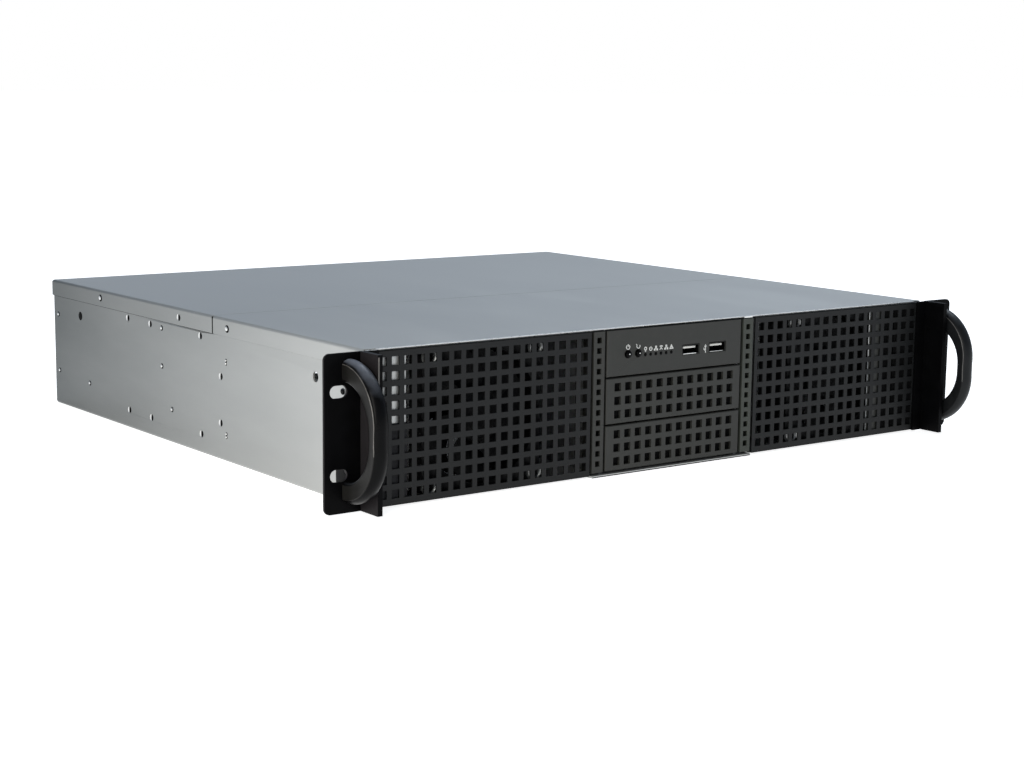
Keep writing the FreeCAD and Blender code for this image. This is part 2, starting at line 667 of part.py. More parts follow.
# ---- Fans ----
def fan_housing(x):
    """Square duct with the motor's seat on struts across its rear."""
    frame = box(spread(x, FAN_SIDE), (FAN_Y, FAN_BACK), spread(MIDDLE_Z, FAN_SIDE))
    corners = [edge for edge in frame.Edges if edge.BoundBox.YLength > FAN_DEPTH / 2]
    frame = frame.makeChamfer(FAN_CORNER, corners)
    frame = frame.cut(rod_y(FAN_BORE / 2, x, (0, FAN_BACK + 1), MIDDLE_Z))
    seat_y = (FAN_BACK - SEAT_THICKNESS, FAN_BACK)
    seat = drawn_out(regular_face(8, ROTOR_HUB, x, MIDDLE_Z, math.pi / 8), "XZ", seat_y)
    centre = Vector(x, 0, MIDDLE_Z)
    struts = []
    for i in range(STRUTS):
        strut = box(spread(x, STRUT_WIDTH), seat_y, (MIDDLE_Z, MIDDLE_Z + FAN_BORE / 2 + 1))
        strut.rotate(centre, Vector(0, 1, 0), 360 / STRUTS * (i + 0.5))
        struts.append(strut)
    return fused(frame, seat, *struts)


def fan_rotor(x):
    """Hub with pitched blades, its motor closed in behind the hub's face."""
    hub_y = (FAN_Y + HUB_SETBACK, FAN_BACK - SEAT_THICKNESS - FIT)
    hub = drawn_out(regular_face(HUB_SIDES, ROTOR_HUB, x, MIDDLE_Z), "XZ", hub_y)
    root = ROTOR_HUB / 2 - BLADE_SHEET
    tip = math.sqrt((FAN_BORE / 2 - BLADE_GAP) ** 2 - (BLADE_CHORD / 2) ** 2)
    middle_y = (hub_y[0] + hub_y[1]) / 2
    chord_y = spread(middle_y, BLADE_SHEET)
    blades = []
    for i in range(BLADES):
        blade = box(spread(x, BLADE_CHORD), chord_y, (MIDDLE_Z + root, MIDDLE_Z + tip))
        blade.rotate(Vector(x, middle_y, 0), Vector(0, 0, 1), BLADE_PITCH)
        blade.rotate(Vector(x, 0, MIDDLE_Z), Vector(0, 1, 0), 360 / BLADES * i)
        blades.append(blade)
    return fused(hub, *blades)


def right_fan_bracket():
    """Plate behind the fan, with a foot on the floor and a wing beside the fan's outer edge."""
    back = FAN_BACK + SHEET / 2
    base = FLOOR + SHEET / 2
    z = spread(MIDDLE_Z, FAN_SIDE)
    wing_x = FAN_X + FAN_SIDE / 2 + FIT + SHEET / 2
    plan = [(FAN_X - FAN_SIDE / 2, back), (wing_x, back), (wing_x, WING_Y), (wing_x + WING_WIDTH, WING_Y)]
    bracket = folded(plan, SHEET, "XY", z, bend=None)
    foot = [(back, z[0] + SHEET), (back, base), (back + BRACKET_FOOT, base)]
    foot_x = spread(FAN_X, FAN_SIDE)
    bracket = fused(bracket, folded(foot, SHEET, "YZ", foot_x, bend=None))
    window = regular_face(8, FAN_BORE, FAN_X, MIDDLE_Z, math.pi / 8)
    return bracket.cut(drawn_out(window, "XZ", (FAN_BACK - 1, FAN_BACK + SHEET + 1)))


# ---- Pieces ----
def export(name, *solids):
    shape = solids[0] if len(solids) == 1 else Part.makeCompound(list(solids))
    if not shape.isValid() or not shape.Solids:
        raise ValueError(f"{name} is not a valid solid")
    shape.exportStep(f"parts/{name}.step")


def pair(name, piece):
    """A piece and its mirror image on the left."""
    export(f"right_{name}", piece)
    export(f"left_{name}", mirrored(piece))


os.makedirs("parts", exist_ok=True)
export("chassis_tray", chassis_tray())
export("front_cover", cover((COVER_SETBACK, SEAM_Y)))
export("rear_cover", rear_cover())
export("cross_brace", cross_brace())
export("rear_wall", rear_wall())
export("slot_covers", *slot_covers())
export("psu_bracket", psu_bracket())
export("standoffs", *standoffs())
pair("ear", right_ear())
handle = right_handle()
export("handles", handle, mirrored(handle))
pair("grille", right_grille())
pair("trim_strip", right_trim_strip())
export("upper_bay_cover", bay_cover(UPPER_BAY))
export("lower_bay_cover", bay_cover(LOWER_BAY))
export("control_panel", control_panel())
export("power_button", button(POWER_X, POWER_RADIUS))
export("reset_button", button(RESET_X, RESET_RADIUS))
export("tact_switches", *tact_switches())
export("status_lights", *status_lights())
export("usb_shells", *usb_shells())
export("usb_tongues", *usb_tongues())
export("control_board", control_board())
export("drive_cage", drive_cage())
pair("fan_bracket", right_fan_bracket())
export("fan_housings", fan_housing(FAN_X), fan_housing(-FAN_X))
export("right_fan_rotor", fan_rotor(FAN_X))
export("left_fan_rotor", fan_rotor(-FAN_X))
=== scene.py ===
import math

import bmesh
import bpy
from mathutils import Matrix, Vector


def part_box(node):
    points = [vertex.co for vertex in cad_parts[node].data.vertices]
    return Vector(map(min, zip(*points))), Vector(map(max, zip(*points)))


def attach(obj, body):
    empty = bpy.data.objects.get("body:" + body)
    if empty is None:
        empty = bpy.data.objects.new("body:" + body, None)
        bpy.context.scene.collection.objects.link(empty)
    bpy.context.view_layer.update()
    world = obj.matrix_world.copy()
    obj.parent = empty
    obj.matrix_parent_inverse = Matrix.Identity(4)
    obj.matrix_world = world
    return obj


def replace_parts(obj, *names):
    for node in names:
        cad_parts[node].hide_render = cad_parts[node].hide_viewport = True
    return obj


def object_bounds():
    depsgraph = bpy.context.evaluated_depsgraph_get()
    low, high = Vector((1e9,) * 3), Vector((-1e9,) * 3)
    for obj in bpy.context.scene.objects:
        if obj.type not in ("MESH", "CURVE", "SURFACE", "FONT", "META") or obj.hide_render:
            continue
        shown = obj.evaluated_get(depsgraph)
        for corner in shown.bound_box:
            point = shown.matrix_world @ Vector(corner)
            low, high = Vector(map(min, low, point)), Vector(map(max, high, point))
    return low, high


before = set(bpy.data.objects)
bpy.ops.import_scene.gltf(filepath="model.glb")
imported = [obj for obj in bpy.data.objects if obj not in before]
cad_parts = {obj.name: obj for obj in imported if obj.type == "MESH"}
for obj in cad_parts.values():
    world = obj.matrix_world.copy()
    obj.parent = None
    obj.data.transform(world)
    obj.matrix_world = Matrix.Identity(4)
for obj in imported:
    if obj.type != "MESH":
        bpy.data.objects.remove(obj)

# Looks of the empty rackmount server case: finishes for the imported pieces, the small detail that the
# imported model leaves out, and a plain studio. Metres; +X right, +Y into the case, +Z up.

cad_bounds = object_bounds()
MM = 0.001

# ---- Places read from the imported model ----
tray_low, tray_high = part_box("chassis_tray")
front_lid_low, front_lid_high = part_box("front_cover")
rear_lid_low, rear_lid_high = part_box("rear_cover")
ear_low, ear_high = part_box("right_ear")
handles_low, handles_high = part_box("handles")
strip_low, strip_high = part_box("right_trim_strip")
fans_low, fans_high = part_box("fan_housings")
rear_wall_low, rear_wall_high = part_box("rear_wall")
UNDERSIDE = tray_low.z
WALL_X = tray_high.x
LID_X = front_lid_high.x
LID_TOP = front_lid_high.z
FAN_SIDE = fans_high.z - fans_low.z
FAN_X = fans_high.x - FAN_SIDE / 2
FAN_Z = (fans_high.z + fans_low.z) / 2

# ---- Camera, at the photograph's place ----
CAMERA_PLACE = Vector((-0.7412, -0.8339, 0.1850))
CAMERA_AZIMUTH = math.radians(-36.667)
CAMERA_ELEVATION = math.radians(9.192)
CAMERA_ROLL = math.radians(0.673)
CAMERA_CLIP = (0.01, 200.0)
LENS_MM = 66.83
SENSOR_MM = 36.0

# ---- Finishes ----
PATCH_SPAN = (0.35, 0.65)  # noise values between which a finish drifts from one tone to the other
ROUGH_SPAN = (0.3, 0.7)  # noise values between which its roughness drifts
SIDE_STOPS = (0.8, 0.9)  # ramp stops of the usual two tones, where some faces have a third tone of painted light or shade
EAR_TONES = ((0.0014, 0.0014, 0.0016), (0.0022, 0.0022, 0.0025))

# ---- Studio ----
FLOOR_SIZE = 40.0
FLOOR_GAP = 0.05 * MM
SKY = [
    (0.0, (1, 1, 1)),
    (0.045, (1, 1, 1)),
    (0.1, (0.4, 0.47, 0.57)),
    (0.4, (0.4, 0.47, 0.57)),
    (0.7, (0.14, 0.15, 0.16)),
]
GLOW = 0.84  # light that the floor gives off
# name, place, target, size, watts and colour
SOFTBOXES = (
    ("overhead", (0.9, 0.55, 1.5), (0, 0.1, 0), (1.0, 1.0), 15, (0.84, 0.92, 1.0)),
    ("left_front", (-0.66, -0.32, 0.24), (-0.22, -0.02, 0), (0.3, 0.4), 2.6, (1.0, 0.96, 0.88)),
)

# ---- Thin plates and lines ----
HAIR = 0.02 * MM  # least step between two faces, and the easing of the finest lines
THIN_EASE = 0.05 * MM
SHADOW_RISE = 0.06 * MM  # thickness of the dark plates that stand for holes

# ---- Handles ----
HANDLE_WIDTH = 9.2 * MM
HANDLE_FOOT = 12.0 * MM
HANDLE_THICKNESS = 7.6 * MM
HANDLE_EASE = 1.5 * MM  # rounding of the grip's inner edges
HANDLE_CROWN = 2.4 * MM  # rise of the outer face above its edges
HANDLE_EDGE = 0.35 * MM  # flat along the crown's two edges
HANDLE_HIGHLIGHT_BELOW = 8.0 * MM  # the edges carry a painted highlight from the top to this far under the middle
BOW_RADIUS = 32.0 * MM
GRIP_RADIUS = 24.0 * MM
ARC_STEPS = 16
CROWN_STEPS = 12
EASE_STEPS = 3

# ---- Marks on the side walls: distance behind the ears, height above the underside ----
# The wall holes are dark discs of painted shade with bright crescents of painted highlight.
WALL_HOLES = [(255.2, 71.9), (255.4, 12.0), (161.9, 50.9), (162.7, 22.7)]
LID_HOLES = [(214.1, 80.5)]
HOLE_RADIUS = 2.1 * MM
CRESCENT_STEPS = 16
CRESCENT_REACH = math.radians(78)
CRESCENT_INNER = 0.3  # its inner edge, as a share of the hole's radius
CRESCENT_RISE = (0.3 * MM, 0.08 * MM)  # its rim and its inner edge above the wall
TALL_HOLE = (361.4, 65.5)
TALL_HOLE_RADIUS = 2.9 * MM
RIVETS = [(239.6, 71.1), (239.9, 47.1), (348.6, 21.5), (227.0, 21.4)]
LANCES = [(155.5, 59.3), (155.5, 61.2), (156.0, 15.1), (156.0, 17.0)]
LID_SCREWS = [(327.3, 81.2), (152.5, 80.4)]
REAR_SCREWS = [(398.0, 63.0), (398.0, 24.0)]
RIVET_RADIUS = 1.7 * MM
LANCE_RADIUS = 1.1 * MM
LID_SCREW_RADIUS = 2.3 * MM
STUD_DOME = [(0, 0.06), (0.62, 0.06), (0.5, 0.3), (0.25, 0.42), (0, 0.45)]  # share of its radius, mm high
STUD_SHIFT = 0.15  # of its radius, by which the dark ring sits in front of the mark
STUD_SETBACK = 1.6  # times that shift, by which the bright middle sits behind it
RAIL_HOLES_Y = (187.5 * MM, 287.5 * MM)
RAIL_HOLES_Z = (-31.3 * MM, 28.7 * MM)
RAIL_HOLE_RADIUS = 2.1 * MM
# Painted shade: dark discs set in behind the real rail holes.
RAIL_SHADE_DEPTH = 0.7 * MM
RAIL_SHADE_RISE = 0.1 * MM
RAIL_SHADE_PLAY = 0.03 * MM
EAR_SCREW = (24.0, 61.2)
EAR_SCREW_HEAD = (1.8 * MM, 0.9 * MM)  # radius and height, as for every head
EAR_TAB = ((4.0, 10.5), (30.0, 29.5))  # its two corners
EAR_TAB_RISE = 1.2 * MM
EAR_TAB_EASE = 0.3 * MM
EAR_TAB_SCREW = (17.0, 20.0)
EAR_TAB_HEAD = (3.0 * MM, 1.2 * MM)

# ---- Painted shadow lines along the covers' flanges ----
LINE_RISE = 0.1 * MM
LINE_GAP = 0.05 * MM  # from a flange's lower edge to the line under it
REAR_LINE = 0.4 * MM  # foot of the line under the rear cover's flange
REAR_LINE_END = 2.0 * MM  # in front of the rear cover's rear edge
FRONT_LINE = 0.2 * MM  # foot of the line under the front cover's flange
SEAM_FOOT = 0.1 * MM
SEAM_SINK = 0.7 * MM
SEAM_HEAD = 1.2 * MM  # below the covers' top
SEAM_RISE = 0.5 * MM
SEAM_MARK_SINK = 0.5 * MM
SEAM_MARK_HEAD = 0.6 * MM
SEAM_MARK_REACH = 0.25 * MM  # past each side of the seam
SEAM_MARK_RISE = 0.52 * MM

# ---- Fans ----
RIM_GLINT = 4.1 * MM  # painted glints on a washer's rim, left and right of its screw
RIM_GLINT_HALF = (0.25 * MM, 1.7 * MM)  # half their width and height
RIM_GLINT_RISE = 1.9 * MM
FAN_SCREW_SPREAD = 35.75 * MM  # from a fan's middle to its screws, each way
FAN_SCREW_HEAD = (3.1 * MM, 1.2 * MM)
# radius and height of a washer's section, in mm
WASHER = [(3.3, 0), (4.7, 0), (4.7, 0.9), (4.4, 1.5), (4.0, 1.6), (3.6, 1.2), (3.3, 0.6), (3.3, 0)]
BLADES = 7
BLADE_GAP = 0.8 * MM
BLADE_STEPS = (8, 10)  # along a blade, and across it
BLADE_HALF_THICKNESS = 0.6 * MM
BLADE_THINNING = 0.75  # share of that thickness lost at a blade's edges
BLADE_SWEEP = math.radians(26)
BLADE_SPAN = (56, 6)  # degrees that a blade covers at the hub, and how many more at its tip
BLADE_RISE = (0.62, 0.2)  # share of the rotor's depth at the hub, and how much less at its tip
BLADE_CAMBER = 0.1  # as a share of the rotor's depth
BLADE_MARGIN = 1.0 * MM  # between the blades and the rotor's front and back
BLADE_ROOT = 0.5 * MM  # depth to which a blade is set into the hub
HUB_RADIUS = 16.0 * MM
# distance in from the hub's edge and behind its front, in mm
HUB_FACE = [(4.0, 0.2), (3.6, 0.5), (3.0, 0.5), (2.6, 0.2), (1.4, 0.3), (0.4, 0.9), (0.0, 2.0)]

# ---- Control panel ----
LAMPS = 6
INK_DEPTH = 0.05 * MM
INK_WIDTH = 0.48 * MM
BUTTON_SIGN_RISE = 4.1 * MM
LAMP_SIGN_RISE = 3.2 * MM
LAMP_WINDOW = 1.0 * MM
LAMP_WINDOW_RISE = 0.08 * MM
# Painted shade: a dark ring round each button
BUTTON_RING_SHADE = [(2.12, 0), (2.5, 0), (2.5, 0.06), (2.12, 0.06), (2.12, 0)]  # radius and height in mm
POWER_CAP_RADIUS = 2.0 * MM
RESET_CAP_RADIUS = 1.85 * MM
# share of a cap's radius, and height in mm
CAP_DOME = [(0, 0), (1, 0), (1, 0.1), (0.85, 0.35), (0.55, 0.6), (0.2, 0.7), (0, 0.7)]
# Painted highlight: a pale dot on each button cap.
GLINT_DOME = [(0, 0), (0.26, 0), (0.2, 0.12), (0, 0.18)]
GLINT_SHIFT = 0.05  # of a cap's radius, to the right and up
GLINT_LIFT = 0.6 * MM
PORT_SIGN_X = 23.5 * MM
PORT_SIGN_DROP = 0.5 * MM
PORT_SIGN_WIDTH = 0.55 * MM
PORT_WIDTH = 13.2 * MM
PORT_LIP_HEIGHTS = (0.5 * MM, 0.3 * MM)
PORT_LIP_INSETS = (0.6 * MM, 2.2 * MM)  # from a port's left and right ends
PORT_LIP_LIFT = 0.1 * MM
PORT_LIP_RISE = 0.25 * MM
TONGUE_INSETS = (1.1 * MM, 2.4 * MM)
TONGUE_HEIGHT = 1.15 * MM
TONGUE_EASE = 0.15 * MM
# Painted shade: black sheets behind the bay covers' holes
BAY_SHADE_INSET = 2.4 * MM
BAY_SHADE_SETBACK = 4.5 * MM
BAY_SHADE_DEPTH = 2.8 * MM
BAY_SHADE_EASE = 0.4 * MM

# ---- Front of the cover ----
COVER_EDGE = 208.0 * MM  # half the length of the painted highlight along the cover's front edge
COVER_LIP = 1.2 * MM
COVER_EDGE_DROP = 0.05 * MM
COVER_EDGE_HEIGHT = 0.72 * MM
COVER_EDGE_EASE = 0.12 * MM
COVER_GAP = (1.4 * MM, 0.8 * MM)  # foot and head of the painted shade in the gap, below the covers' top
COVER_GAP_RISE = 0.05 * MM
TAB_INSET = 0.5 * MM
TAB_DEPTH = 0.9 * MM
TAB_EASE = 0.1 * MM
CORNER_GLINTS = ((-216.0 * MM, -213.6 * MM), (-212.9 * MM, -208.8 * MM))
CORNER_GLINT_HEIGHT = 0.9 * MM
CORNER_GLINT_RISE = 0.3 * MM
GLINT_EASE = 0.08 * MM
FINE_EASE = 0.01 * MM
LIP_SHADE_HEIGHT = 0.6 * MM
LIP_SHADE_RISE = 0.03 * MM
# Painted highlight along the front edge of the left ear's wing
WING_EDGE = (-218.9 * MM, -218.0 * MM)
WING_SPAN = (0.12, 0.97)  # its ends, as shares of the ear's height above the middle
WING_RISE = 0.06 * MM
JOINT_INSET = 0.9 * MM
JOINT_REACH = 0.1 * MM
JOINT_SINK = 0.4 * MM
JOINT_RISE = 0.33 * MM

# ---- Rear ----
PSU_X = 156.0 * MM
PSU_SCREW_SPREAD = 45.8 * MM  # from the opening's middle, each way
PSU_SCREW_HEIGHTS = (4.0 * MM, 66.0 * MM)  # above the rear wall's foot
PSU_SCREW_HEAD = (2.6 * MM, 0.7 * MM)

# ---- Painted shade sheets behind the grilles ----
FLANGE_WIDTH = 25.4 * MM
PAINT_SHEET_INSET = 2.0 * MM
PAINT_SHEET_BACK = 1.75 * MM
PAINT_SHEET_DEPTH = 0.7 * MM
LEFT_SHADE_TOP = 2.0 * MM
RIGHT_SHADE_TOP = 40.0 * MM
PAINT_SHEET_EASE = 0.1 * MM
PAINT_SHEET_LIP = 0.6 * MM  # folded round the flange's edge
PAINT_SHEET_LIP_DEPTH = 1.2 * MM
BRACKET_FOLD = (165.8 * MM, 166.25 * MM, 176.2 * MM, 186.0 * MM)  # edges of its painted highlight, its painted lit face and its painted shade
BRACKET_LIT = 6.0 * MM  # height above which its edge carries a painted highlight


def material(name, tones, patch, roughness, metallic=0.0, specular=0.5, grain=0.4 * MM, height=0.02 * MM,
             stretch=(1, 1, 1)):
    """A finish whose colour and roughness drift between two values over patches, with a fine grain."""
    made = bpy.data.materials.new(name)
    made.use_nodes = True
    nodes, links = made.node_tree.nodes, made.node_tree.links
    shader = nodes["Principled BSDF"]
    shader.inputs["Metallic"].default_value = metallic
    shader.inputs["Specular IOR Level"].default_value = specular
    coordinates = nodes.new("ShaderNodeTexCoord")
    mapping = nodes.new("ShaderNodeMapping")
    mapping.inputs["Scale"].default_value = stretch
    links.new(coordinates.outputs["Object"], mapping.inputs["Vector"])
    patches = nodes.new("ShaderNodeTexNoise")
    patches.inputs["Scale"].default_value = 1 / patch
    patches.inputs["Detail"].default_value = 4.0
    links.new(mapping.outputs["Vector"], patches.inputs["Vector"])
    ramp = nodes.new("ShaderNodeValToRGB")
    for stop, tone, place in zip(ramp.color_ramp.elements, tones, PATCH_SPAN):
        stop.position = place
        stop.color = (*tone, 1.0)
    links.new(patches.outputs["Fac"], ramp.inputs["Fac"])
    links.new(ramp.outputs["Color"], shader.inputs["Base Color"])
    spread = nodes.new("ShaderNodeMapRange")
    spread.inputs["From Min"].default_value = ROUGH_SPAN[0]
    spread.inputs["From Max"].default_value = ROUGH_SPAN[1]
    spread.inputs["To Min"].default_value = roughness[0]
    spread.inputs["To Max"].default_value = roughness[1]
    links.new(patches.outputs["Fac"], spread.inputs["Value"])
    links.new(spread.outputs["Result"], shader.inputs["Roughness"])
    specks = nodes.new("ShaderNodeTexNoise")
    specks.inputs["Scale"].default_value = 1 / grain
    specks.inputs["Detail"].default_value = 2.0
    links.new(coordinates.outputs["Object"], specks.inputs["Vector"])
    bump = nodes.new("ShaderNodeBump")
    bump.inputs["Strength"].default_value = 0.5
    bump.inputs["Distance"].default_value = height
    links.new(specks.outputs["Fac"], bump.inputs["Height"])
    links.new(bump.outputs["Normal"], shader.inputs["Normal"])
    return made


def paint_light_by_facing(finish, tone, axis="X", power=1.0, span=(-1.0, -0.9)):
    """Paints light and shade by facing: the faces that look along an axis get another tone, which comes in
    over a span from front to back.
    """
    nodes, links = finish.node_tree.nodes, finish.node_tree.links
    coordinates = nodes["Texture Coordinate"]
    ramp = nodes["Color Ramp"]
    patches = ramp.inputs["Fac"].links[0].from_socket
    narrow = nodes.new("ShaderNodeMapRange")
    narrow.inputs["From Min"].default_value = PATCH_SPAN[0]
    narrow.inputs["From Max"].default_value = PATCH_SPAN[1]
    narrow.inputs["To Min"].default_value = SIDE_STOPS[0]
    narrow.inputs["To Max"].default_value = SIDE_STOPS[1]
    links.new(patches, narrow.inputs["Value"])
    split = nodes.new("ShaderNodeSeparateXYZ")
    links.new(coordinates.outputs["Object"], split.inputs["Vector"])
    reach = nodes.new("ShaderNodeMapRange")
    reach.inputs["From Min"].default_value = span[0]
    reach.inputs["From Max"].default_value = span[1]
    reach.inputs["To Max"].default_value = SIDE_STOPS[0]
    links.new(split.outputs["Y"], reach.inputs["Value"])
    facing = nodes.new("ShaderNodeSeparateXYZ")
    links.new(coordinates.outputs["Normal"], facing.inputs["Vector"])
    size = nodes.new("ShaderNodeMath")
    size.operation = "ABSOLUTE" if axis == "X" else "MAXIMUM"
    size.inputs[1].default_value = 0.0
    links.new(facing.outputs[axis], size.inputs[0])
    sideways = nodes.new("ShaderNodeMath")
    sideways.operation = "POWER"
    sideways.inputs[1].default_value = power
    links.new(size.outputs["Value"], sideways.inputs[0])
    share = nodes.new("ShaderNodeMath")
    share.operation = "MULTIPLY"
    links.new(sideways.outputs["Value"], share.inputs[0])
    links.new(reach.outputs["Result"], share.inputs[1])
    factor = nodes.new("ShaderNodeMath")
    factor.operation = "SUBTRACT"
    links.new(narrow.outputs["Result"], factor.inputs[0])
    links.new(share.outputs["Value"], factor.inputs[1])
    links.new(factor.outputs["Value"], ramp.inputs["Fac"])
    tones = [tuple(stop.color) for stop in ramp.color_ramp.elements]
    ramp.color_ramp.elements.new(0.0)
    stops = ((0.0, (*tone, 1.0)), (SIDE_STOPS[0], tones[0]), (SIDE_STOPS[1], tones[1]))
    for stop, (place, colour) in zip(ramp.color_ramp.elements, stops):
        stop.position = place
        stop.color = colour


STEEL = material(
    "galvanised_steel", ((0.39, 0.395, 0.385), (0.44, 0.445, 0.435)), 30 * MM, (0.34, 0.42), metallic=0.5,
    grain=0.9 * MM, height=0.004 * MM, stretch=(1.0, 0.25, 1.0),
)
# Painted shade: the steel's faces that look sideways darken towards the rear.
paint_light_by_facing(STEEL, (0.045, 0.053, 0.051), span=(0.02, 0.4))
INNER_STEEL = material(
    "inner_steel", ((0.26, 0.27, 0.27), (0.32, 0.33, 0.33)), 24 * MM, (0.36, 0.46), metallic=0.7,
    grain=0.9 * MM, height=0.004 * MM, stretch=(1.0, 0.25, 1.0),
)
BRIGHT_STEEL = material(
    "bright_steel", ((0.44, 0.44, 0.43), (0.52, 0.52, 0.5)), 12 * MM, (0.3, 0.4), metallic=0.6,
    grain=0.9 * MM, height=0.004 * MM, stretch=(1.0, 1.0, 0.25),
)
# Zinc plate, and the bright plates that paint highlights.
ZINC_AND_HIGHLIGHT = material(
    "zinc_plate_and_highlight", ((0.62, 0.62, 0.6), (0.72, 0.72, 0.7)), 2 * MM, (0.25, 0.35), metallic=0.9,
    height=0.004 * MM,
)
COAT = material(
    "powder_coat", ((0.005, 0.0053, 0.0055), (0.007, 0.0074, 0.0077)), 12 * MM, (0.42, 0.5), specular=0.2,
    height=0.012 * MM,
)
EAR_COAT, LIT_EAR_COAT = (
    material(name, EAR_TONES, 12 * MM, (0.4, 0.48), specular=0.04, height=0.01 * MM)
    for name in ("ear_coat", "lit_ear_coat")
)
# Painted light: the left ear's faces that look sideways are much lighter than the rest of the ear.
paint_light_by_facing(LIT_EAR_COAT, (0.019, 0.0172, 0.0182))
SATIN_PAINTED_SHEEN = material(
    "handle_satin_painted_sheen", ((0.0018, 0.0018, 0.002), (0.0026, 0.0026, 0.0028)), 8 * MM, (0.26, 0.34), specular=0.06,
    grain=0.25 * MM, height=0.004 * MM,
)
# Painted sheen: faces that look up turn a pale bluish grey.
paint_light_by_facing(SATIN_PAINTED_SHEEN, (0.17, 0.187, 0.225), "Z", 3.5)
# Painted light: the right handle's black is lighter than the left handle's, and its faces that look up turn
# pale grey.
RIGHT_HANDLE_PAINTED_LIGHT = material(
    "right_handle_painted_light", ((0.0075, 0.008, 0.0085), (0.0105, 0.011, 0.0115)), 8 * MM, (0.36, 0.46), specular=0.15,
    grain=0.25 * MM, height=0.004 * MM,
)
paint_light_by_facing(RIGHT_HANDLE_PAINTED_LIGHT, (0.05, 0.055, 0.064), "Z", 3.5)
# Painted highlight for bright edges: the handles' upper edges and the left ear's wing edge.
EDGE_HIGHLIGHT = material(
    "painted_edge_highlight", ((0.05, 0.047, 0.043), (0.1, 0.094, 0.087)), 5 * MM, (0.3, 0.4), height=0.004 * MM,
)
# Painted light: the left handle's flat sides are lighter than its crown.
LEFT_FLANK_PAINTED_LIGHT = material(
    "left_flank_painted_light", ((0.008, 0.0075, 0.007), (0.0115, 0.011, 0.01)), 8 * MM, (0.36, 0.46), specular=0.15,
    grain=0.25 * MM, height=0.004 * MM, stretch=(1.0, 1.0, 0.2),
)
# Black plastic, also used for the painted light on the right fan bracket's face.
PLASTIC_AND_PAINTED_LIGHT = material(
    "black_plastic", ((0.022, 0.0225, 0.0195), (0.027, 0.027, 0.024)), 10 * MM, (0.48, 0.56), specular=0.3,
    grain=0.5 * MM, height=0.014 * MM,
)
STRIP = material(
    "strip_plastic", ((0.033, 0.037, 0.03), (0.041, 0.045, 0.037)), 10 * MM, (0.48, 0.56), specular=0.3,
    grain=0.5 * MM, height=0.014 * MM,
)
FAN = material(
    "fan_plastic", ((0.0025, 0.0025, 0.0027), (0.004, 0.004, 0.0042)), 8 * MM, (0.4, 0.5), specular=0.12,
)
BOARD = material("circuit_board", ((0.01, 0.06, 0.025), (0.015, 0.085, 0.035)), 3 * MM, (0.3, 0.4))
# Dark lamp plastic, also used for the painted shade rings round the buttons.
LAMP_AND_RING_SHADE = material(
    "lamp_plastic", ((0.001, 0.001, 0.001), (0.002, 0.002, 0.002)), 1 * MM, (0.3, 0.4), specular=0.03,
    height=0.002 * MM,
)
BUTTON = material(
    "button_plastic", ((0.001, 0.001, 0.001), (0.002, 0.002, 0.002)), 2 * MM, (0.2, 0.3), specular=0.05,
    height=0.001 * MM,
)
# Painted shade: the ports' metal shells are near-black.
PORT_SHELL_PAINTED_SHADE = material(
    "port_shell", ((0.02, 0.02, 0.02), (0.035, 0.035, 0.033)), 3 * MM, (0.3, 0.4), metallic=1.0,
    height=0.003 * MM,
)
TONGUE = material(
    "port_tongue", ((0.5, 0.49, 0.45), (0.58, 0.57, 0.53)), 3 * MM, (0.4, 0.5), height=0.004 * MM,
)
SWITCH = material(
    "switch_plastic", ((0.004, 0.004, 0.004), (0.008, 0.008, 0.008)), 3 * MM, (0.4, 0.5), specular=0.2,
)
BRASS = material("brass", ((0.62, 0.44, 0.18), (0.74, 0.54, 0.25)), 3 * MM, (0.28, 0.36), metallic=1.0)
# Pale print for the panel's symbols, also used for the buttons' painted highlight dots.
PRINT_AND_GLINT = material("panel_print_and_glint", ((0.55, 0.55, 0.52), (0.66, 0.66, 0.63)), 1 * MM, (0.5, 0.6), height=0.002 * MM)
VOID = material(
    "hole_shadow", ((0.002, 0.002, 0.002), (0.004, 0.004, 0.004)), 2 * MM, (0.8, 0.9), specular=0.1,
)
# Near-black painted shade, for sheets that darken what shows through holes.
SHADE_SHEET = material(
    "painted_shade_sheet", ((0.0015, 0.0015, 0.0015), (0.004, 0.004, 0.004)), 1.2 * MM, (0.9, 0.98), specular=0.05,
    grain=0.5 * MM, height=0.1 * MM,
)
# Painted shade on the lower half of the left flange behind its grille.
FLANGE_SHADE = material(
    "flange_painted_shade", ((0.012, 0.012, 0.013), (0.019, 0.019, 0.02)), 1.5 * MM, (0.8, 0.9), specular=0.1,
    grain=0.5 * MM, height=0.05 * MM,
)


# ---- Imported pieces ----
def dress(names, finish, edge):
    """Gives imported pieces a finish, and breaks their sharp edges by a small rounding."""
    for name in names:
        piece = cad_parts[name]
        for place in piece.material_slots:
            place.material = finish
        if not piece.material_slots:
            piece.data.materials.append(finish)
        if "custom_normal" in piece.data.attributes:
            piece.data.attributes.remove(piece.data.attributes["custom_normal"])
        piece.data.polygons.foreach_set("use_smooth", [True] * len(piece.data.polygons))
        weld = piece.modifiers.new("weld", "WELD")
        weld.merge_threshold = 0.002 * MM
        bevel = piece.modifiers.new("edges", "BEVEL")
        bevel.width = edge
        bevel.segments = 2
        bevel.limit_method = "ANGLE"
        bevel.angle_limit = math.radians(35)
        bevel.harden_normals = True


